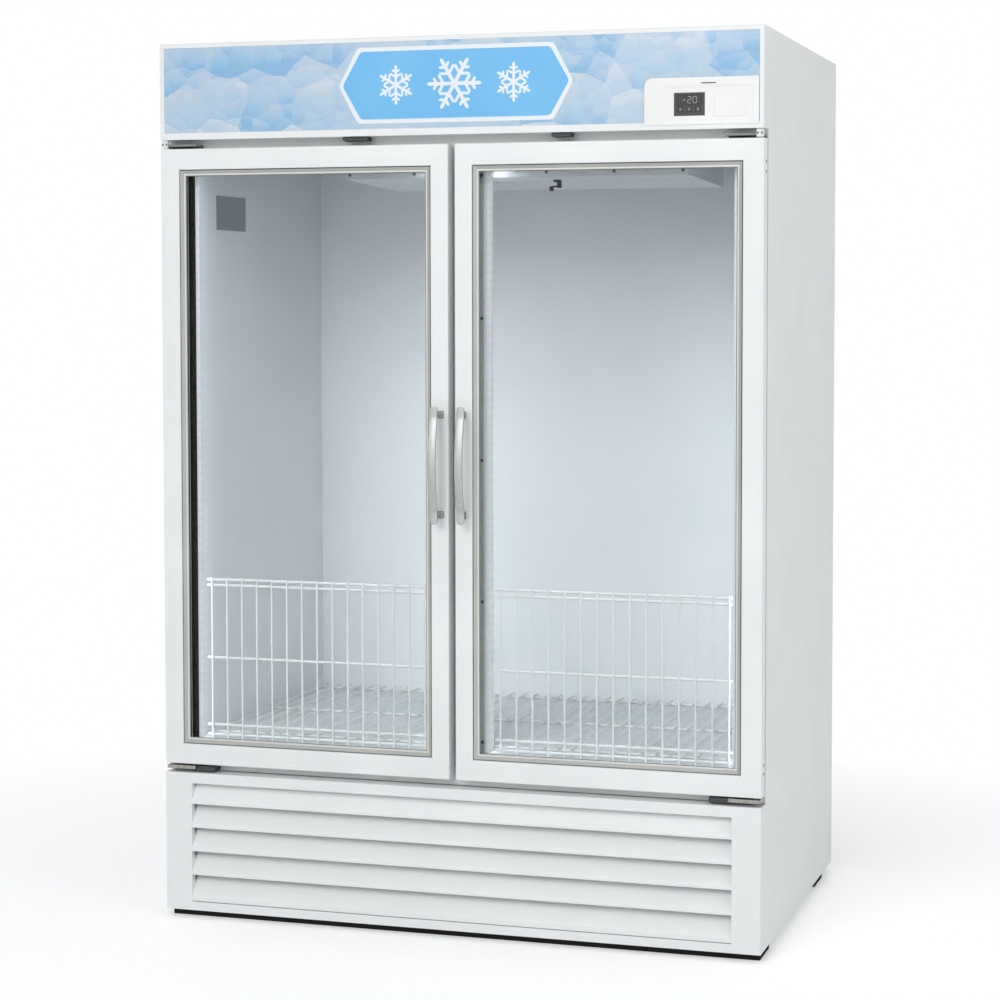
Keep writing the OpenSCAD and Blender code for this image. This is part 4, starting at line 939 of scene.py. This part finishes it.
class BuildDoors(bpy.types.Operator):
    """Makes both doors: mitred profiles, beads, panes, spacers and gaskets"""

    bl_idname = "freezer.doors"
    bl_label = "Doors"

    def execute(self, context):
        sizes = context.scene.freezer_sizes
        gap, edge = sizes.mitre_gap * 1000, sizes.profile_edge * 1000
        for side in ("left", "right"):
            body = f"{side}_door"
            frame_node, bead_node = f"{side}_door_frame", f"{side}_door_bead"
            fx0, fx1, fd0, fd1, fz0, fz1 = span(frame_node)
            bx0, bx1, bd0, bd1, bz0, bz1 = span(bead_node)
            face, lap = 45.0, 53.0  # the profile's width in front, and with its lap behind the bead
            profile = [(0, 0.45), (17, 0.3), (21, 0), (face, 0), (face, fd1 - 2)]
            profile += [(lap, fd1 - 2), (lap, fd1), (0, fd1)]
            profile = rounded(profile, [edge, 2.0, 2.0, 1.5, 0.3, 0.5, 0.5, 1.6])
            bars = mitred_bars(frame_corners((fx0, fx1, fz0, fz1), (bx0, bx1, bz0, bz1), profile, face), gap)
            make_piece(f"{side}_door_profiles", bars, ["door_paint"], body, (frame_node,))

            # a rubber wedge at the frame, then a bead that slopes down to a flat ridge, and a rubber lip
            wedge_in, crest_in, ridge_in, lip_in = 2.2, 9, 13.2, 14.7
            steps = (0, wedge_in, crest_in, ridge_in, lip_in)
            line = {e: (bx0 + e, bx1 - e, bz0 + e, bz1 - e) for e in steps}
            # the wedge's dark grey also paints the shadow in the gap between the frame and the bead
            for name, start, end, tall in (("wedge", 0, wedge_in, 3.4), ("lip", ridge_in, lip_in, 1.5)):
                width = end - start
                shape = rounded([(0, bd1 - tall), (width, bd1 - tall + 0.2), (width, bd1), (0, bd1)], 0.3)
                ring = frame_corners(line[start], line[end], shape, width)
                make_piece(f"{side}_glazing_{name}", [loft(ring, True)], ["wedge"], body)
            slope = rounded([(0, 1.2), (6.9, 7.0), (6.9, bd1), (0, bd1)], [0.5, 0.5, 0.1, 0.2])
            ridge = [(0, 5.9), (3.6, 5.9), (4.2, 7.2), (4.2, bd1), (0, bd1)]
            ridge = rounded(ridge, [0.6, 0.9, 0.5, 0.2, 0.1])
            low = frame_corners(line[wedge_in], line[crest_in], slope, crest_in - wedge_in)
            high = frame_corners(line[crest_in], line[ridge_in], ridge, ridge_in - crest_in)
            # the ridge's pale finish partly paints the highlight along the bead's inner edge
            parts = mitred_bars(low, gap) + [(*bar, 1) for bar in mitred_bars(high, gap)]
            make_piece(f"{side}_glazing_bead", parts, ["bead", "ridge"], body, (bead_node,))

            node = f"{side}_door_spacers"
            x0, x1, d0, d1, z0, z1 = span(node)
            wide, deep, cut = 5.0, 6, 1.2  # a spacer bar's section and its sloping inner corners
            within, layers = (x0 + wide, x1 - wide, z0 + wide, z1 - wide), []
            for d in (d0, d1 - deep):
                bar = [(0, d), (wide - cut, d), (wide, d + cut)]
                bar += [(wide, d + 4.8), (wide - cut, d + deep), (0, d + deep)]
                layers.append(loft(frame_corners((x0, x1, z0, z1), within, rounded(bar, 0.3), wide), True))
            make_piece(f"{side}_spacer_bars", layers, ["spacer"], body, (node,))

            node = f"{side}_door_gasket"
            x0, x1, d0, d1, z0, z1 = span(node)
            wide = 16
            fold = [(1, d0), (15, d0), (15, d0 + 1.6), (11, d0 + 3.2), (15.4, d0 + 4.8), (wide, d1), (0, d1)]
            fold += [(0.6, d0 + 4.8), (5, d0 + 3.2), (1, d0 + 1.6)]
            within = (x0 + wide, x1 - wide, z0 + wide, z1 - wide)
            bellows = loft(frame_corners((x0, x1, z0, z1), within, rounded(fold, 0.9, 4), wide), True)
            make_piece(f"{side}_gasket_bellows", [bellows], ["gasket"], body, (node,), 50)

            node = f"{side}_door_glass"
            x0, x1, d0, d1, z0, z1 = span(node)
            pane = rounded(corners_of(x0, x1, z0, z1), 2.0, 3)
            pitch, thick = 10, 4
            panes = [plate(pane, d0 + i * pitch, d0 + i * pitch + thick, 0.4) for i in range(3)]
            make_piece(f"{side}_door_panes", panes, ["glass"], body, (node,))
            finish_node(f"{side}_door_bushes", "white_abs")

            # two screws near each end of the hinge edge hold the bushes
            edge_x, out, heads = (fx0, -1, []) if side == "left" else (fx1, 1, [])
            head = [(3.4, -0.5), (3.4, 0.2), (2.4, 0.7), (1.1, 0.8), (1.0, 0.3), (0.1, 0.3)]
            for height in (fz0 + 49, fz0 + 68, fz1 - 70, fz1 - 49):
                points, faces = turned(0, 0, 0, head, 24)
                back, proud, up = points.T
                heads.append((np.column_stack([edge_x + out * proud, 23 + back, height + up]), faces))
            make_piece(f"{side}_hinge_edge_screws", heads, ["plated_grey"], body)
        return {"FINISHED"}


class BuildHandles(bpy.types.Operator):
    """Makes the bowed pull handles and their feet"""

    bl_idname = "freezer.handles"
    bl_label = "Handles"

    def execute(self, context):
        ease = context.scene.freezer_sizes.handle_ease * 1000
        for side in ("left", "right"):
            body, node = f"{side}_door", f"{side}_handle"
            x0, x1, d0, d1, z0, z1 = span(node)
            x, z = (x0 + x1) / 2, (z0 + z1) / 2
            half, reach, thick = (x1 - x0) / 2, (z1 - z0) / 2, 6.0
            s = np.sin(np.linspace(-pi / 2, pi / 2, 121)) * (reach - 0.02)
            # the bow: 1 - (s / half its length)^2 where that is above 0, softened over the bend by a root
            bow_half, soft = 103, 0.06
            lift = 1 - (s / bow_half) ** 2
            lift = 0.5 * (lift + np.sqrt(lift**2 + soft**2))
            lift = (lift - lift.min()) / (lift.max() - lift.min())
            bow = d1 - d0 - thick
            path = np.column_stack([d1 - thick / 2 - bow * lift, s])
            over = np.clip((np.abs(s) - (reach - half)) / half, 0, 1)
            widths = np.sqrt(1 - over**2)
            grip = strap(x, z, half, thick, path, widths, ease)
            make_piece(f"{side}_pull_handle", [grip], ["stainless"], body, (node,), 50)

            node = f"{side}_handle_feet"
            x0, x1, d0, d1, z0, z1 = span(node)
            foot, foot_x, feet = (x1 - x0) / 2, (x0 + x1) / 2, []
            neck = foot / 2
            for foot_z in (z0 + foot, z1 - foot):
                square = rounded(corners_of(x0, x1, foot_z - foot, foot_z + foot), 2.2)
                inset = rounded(corners_of(x0 + 3, x1 - 3, foot_z - foot + 3, foot_z + foot - 3), 1.4)
                post = [(neck, d0), (neck, d1 - 4.4), (neck + 0.4, d1 - 3.6), (neck + 0.8, d1 - 2.9)]
                feet += [plate(square, d1 - 2.4, d1, 0.5), (*plate(inset, d1 - 3, d1 - 2, 0.4), 1)]
                feet.append((*turned(foot_x, 0, foot_z, post, 40), 2))
            finishes = ["foot_grey", "white_abs", "stainless"]
            make_piece(f"{side}_handle_mounts", feet, finishes, body, (node,))
        return {"FINISHED"}


class BuildLamps(bpy.types.Operator):
    """Dresses the lamp housings and their lit lenses"""

    bl_idname = "freezer.lamps"
    bl_label = "Lamps"

    def execute(self, context):
        eased_copy("lamp_housings", 1.2, "matt_black", 3)
        # the lamps shine into the cabinet: only the faces turned to the back are lit at full strength
        lenses = eased_copy("lamp_lenses", 1.6, "lens", 3)
        lenses.data.materials.append(FINISHES["lit_lens"])
        for face in lenses.data.polygons:
            face.material_index = int(face.normal.y > 0.5)
        return {"FINISHED"}


class BuildCooling(bpy.types.Operator):
    """Dresses the evaporator under the ceiling and the machine parts in the base"""

    bl_idname = "freezer.cooling"
    bl_label = "Cooling"

    def execute(self, context):
        eased_copy("evaporator_cover", 0.3, "liner_sheet")
        # the thermostat's sensor in its clip under the cover
        z = span("evaporator_cover")[4]
        blocks = (
            (184, 193, z - 9, z + 9),
            (176, 187, z + 4, z + 10),
            (166, 175, z - 16, z - 5),
            (172, 186, z - 7, z - 4),
        )
        outlines = [rounded(corners_of(*block), 1.6) for block in blocks]
        clip = [plate(outline, 196 + i, 205 - i, 0.6) for i, outline in enumerate(outlines)]
        make_piece("sensor_clip", clip, ["black_abs"], "cabinet")
        for node, finish in (
            ("evaporator_coil", "fins"),
            ("condenser_coil", "fins"),
            ("left_evaporator_fan", "fan_plastic"),
            ("right_evaporator_fan", "fan_plastic"),
            ("condenser_fan", "fan_plastic"),
            ("fan_motors", "motor_paint"),
            ("fan_shroud", "galvanised"),
            ("compressor", "enamel"),
            ("drain_pan", "galvanised"),
            ("control_box", "galvanised"),
            ("pipework", "copper"),
            ("supply_gland", "black_abs"),
        ):
            finish_node(node, finish)
        return {"FINISHED"}


class BuildInterior(bpy.types.Operator):
    """Dresses the wire guards, the floor racks and the plate on the left wall"""

    bl_idname = "freezer.interior"
    bl_label = "Interior"

    def execute(self, context):
        finish_node("wire_guards", "wire")
        finish_node("floor_racks", "wire")
        eased_copy("notice_plate", 0.3, "grey_plate")
        finish_node("screws", "plated_grey")
        return {"FINISHED"}


class BuildStage(bpy.types.Operator):
    """Makes the floor, the lights, the white surround and the camera"""

    bl_idname = "freezer.stage"
    bl_label = "Stage"

    def execute(self, context):
        stage = context.scene.freezer_stage
        finish, tree, out, place = new_finish("pale_studio_floor")
        # distance from the freezer, weighed so that the shaded part is wider than it is deep
        away = add_node(tree, "ShaderNodeVectorMath", {0: place, 1: (0.42, 0.52, 1.0)}, operation="MULTIPLY")
        length = add_node(tree, "ShaderNodeVectorMath", {0: away.outputs[0]}, operation="LENGTH")
        plain = {"Base Color": colour("#fbfbfb"), "Roughness": 0.7}
        plain = add_node(tree, "ShaderNodeBsdfPrincipled", plain)
        white = add_node(tree, "ShaderNodeEmission", {"Color": (1, 1, 1, 1), "Strength": 1.0})
        seen = light_rays(tree)
        lift = add_node(tree, "ShaderNodeMath", {0: seen, 1: stage.floor_lift}, operation="MULTIPLY")
        glow = add_node(tree, "ShaderNodeEmission", {"Color": (1, 1, 1, 1), "Strength": lift.outputs[0]})
        near = add_node(tree, "ShaderNodeAddShader", {0: plain.outputs[0], 1: glow.outputs[0]})
        # the floor's own shade near the freezer, and pure white as the surround further off
        far = between(tree, length.outputs["Value"], 0.0, 1.0, 0.40, 1.0)
        share = add_node(tree, "ShaderNodeMath", {0: far, 1: seen}, operation="MULTIPLY").outputs[0]
        mixed = add_node(tree, "ShaderNodeMixShader", {0: share, 1: near.outputs[0], 2: white.outputs[0]})
        tree.links.new(mixed.outputs[0], out.inputs["Surface"])
        floor = bpy.data.meshes.new("studio_floor")
        reach = 14.0  # metres from the freezer to the floor's edge
        square = [(x * reach, y * reach, 0) for x, y in ((-1, -1), (1, -1), (1, 1), (-1, 1))]
        floor.from_pydata(square, [], [(0, 1, 2, 3)])
        floor.materials.append(finish)
        ground = bpy.data.objects.new("studio_floor", floor)
        context.scene.collection.objects.link(ground)

        world = bpy.data.worlds.new("studio_surround")
        world.use_nodes = True
        context.scene.world = world
        tree = world.node_tree
        tree.nodes.clear()
        out = add_node(tree, "ShaderNodeOutputWorld")
        even = add_node(tree, "ShaderNodeBackground", {"Color": colour("#fafcff"), "Strength": stage.sky})
        white = add_node(tree, "ShaderNodeBackground", {"Color": (1, 1, 1, 1), "Strength": 1.0})
        seen = light_rays(tree)
        mixed = add_node(tree, "ShaderNodeMixShader", {0: seen, 1: even.outputs[0], 2: white.outputs[0]})
        tree.links.new(mixed.outputs[0], out.inputs["Surface"])

        add_lamp("key_light", (-1.3, -8.7, 5.2), (0, -0.4, 0.9), 4.6, stage.key)
        add_lamp("fill_light", (4.2, -2.6, 2.4), (0.6, 0, 0.9), 2.6, stage.fill)

        camera = bpy.data.cameras.new("camera")
        camera.lens = 84.40
        camera.sensor_width = 36.0
        camera.shift_x = -0.055
        camera.shift_y = -0.08
        viewer = bpy.data.objects.new("camera", camera)
        viewer.location = (1.6715, -4.8497 + FRONT, 1.4149)
        viewer.rotation_euler = (radians(90 - 2.952), 0, radians(16.484))
        context.scene.collection.objects.link(viewer)
        context.scene.camera = viewer
        context.scene.view_settings.view_transform = "Standard"
        return {"FINISHED"}


def light_rays(tree):
    """1 for a ray that the camera, a glossy surface or glass sends, which sees a white surround."""
    rays = add_node(tree, "ShaderNodeLightPath").outputs
    seen = rays["Is Camera Ray"]
    for ray in ("Is Glossy Ray", "Is Transmission Ray"):
        seen = add_node(tree, "ShaderNodeMath", {0: seen, 1: rays[ray]}, operation="MAXIMUM").outputs[0]
    return seen


def add_lamp(name, place, aim, size, power):
    """A square soft light that looks at a point."""
    lamp = bpy.data.lights.new(name, "AREA")
    lamp.size = size
    lamp.energy = power
    holder = bpy.data.objects.new(name, lamp)
    holder.location = place
    holder.rotation_euler = (Vector(aim) - Vector(place)).to_track_quat("-Z", "Y").to_euler()
    bpy.context.scene.collection.objects.link(holder)


STEPS = (
    BuildFinishes,
    BuildCabinet,
    BuildBase,
    BuildLouvre,
    BuildHeader,
    BuildController,
    BuildHinges,
    BuildDoors,
    BuildHandles,
    BuildLamps,
    BuildCooling,
    BuildInterior,
    BuildStage,
)


class FREEZER_PT_build(bpy.types.Panel):
    """Lists the steps that build the freezer"""

    bl_label = "Freezer"
    bl_space_type = "VIEW_3D"
    bl_region_type = "UI"
    bl_category = "Freezer"

    def draw(self, context):
        for group in ("freezer_colours", "freezer_sizes", "freezer_stage"):
            holder = getattr(context.scene, group)
            for name in type(holder).__annotations__:
                self.layout.prop(holder, name)
        for step in STEPS:
            self.layout.operator(step.bl_idname)


GROUPS = {"freezer_colours": FreezerColours, "freezer_sizes": FreezerSizes, "freezer_stage": FreezerStage}


def register():
    for group in GROUPS.values():
        bpy.utils.register_class(group)
    for step in (*STEPS, FREEZER_PT_build):
        bpy.utils.register_class(step)
    for name, group in GROUPS.items():
        setattr(bpy.types.Scene, name, bpy.props.PointerProperty(type=group))


def unregister():
    for name in GROUPS:
        delattr(bpy.types.Scene, name)
    for step in (FREEZER_PT_build, *reversed(STEPS)):
        bpy.utils.unregister_class(step)
    for group in GROUPS.values():
        bpy.utils.unregister_class(group)


def main():
    """Runs the steps in order."""
    register()
    for step in STEPS:
        group, name = step.bl_idname.split(".")
        getattr(getattr(bpy.ops, group), name)()


if __name__ == "__main__":
    main()
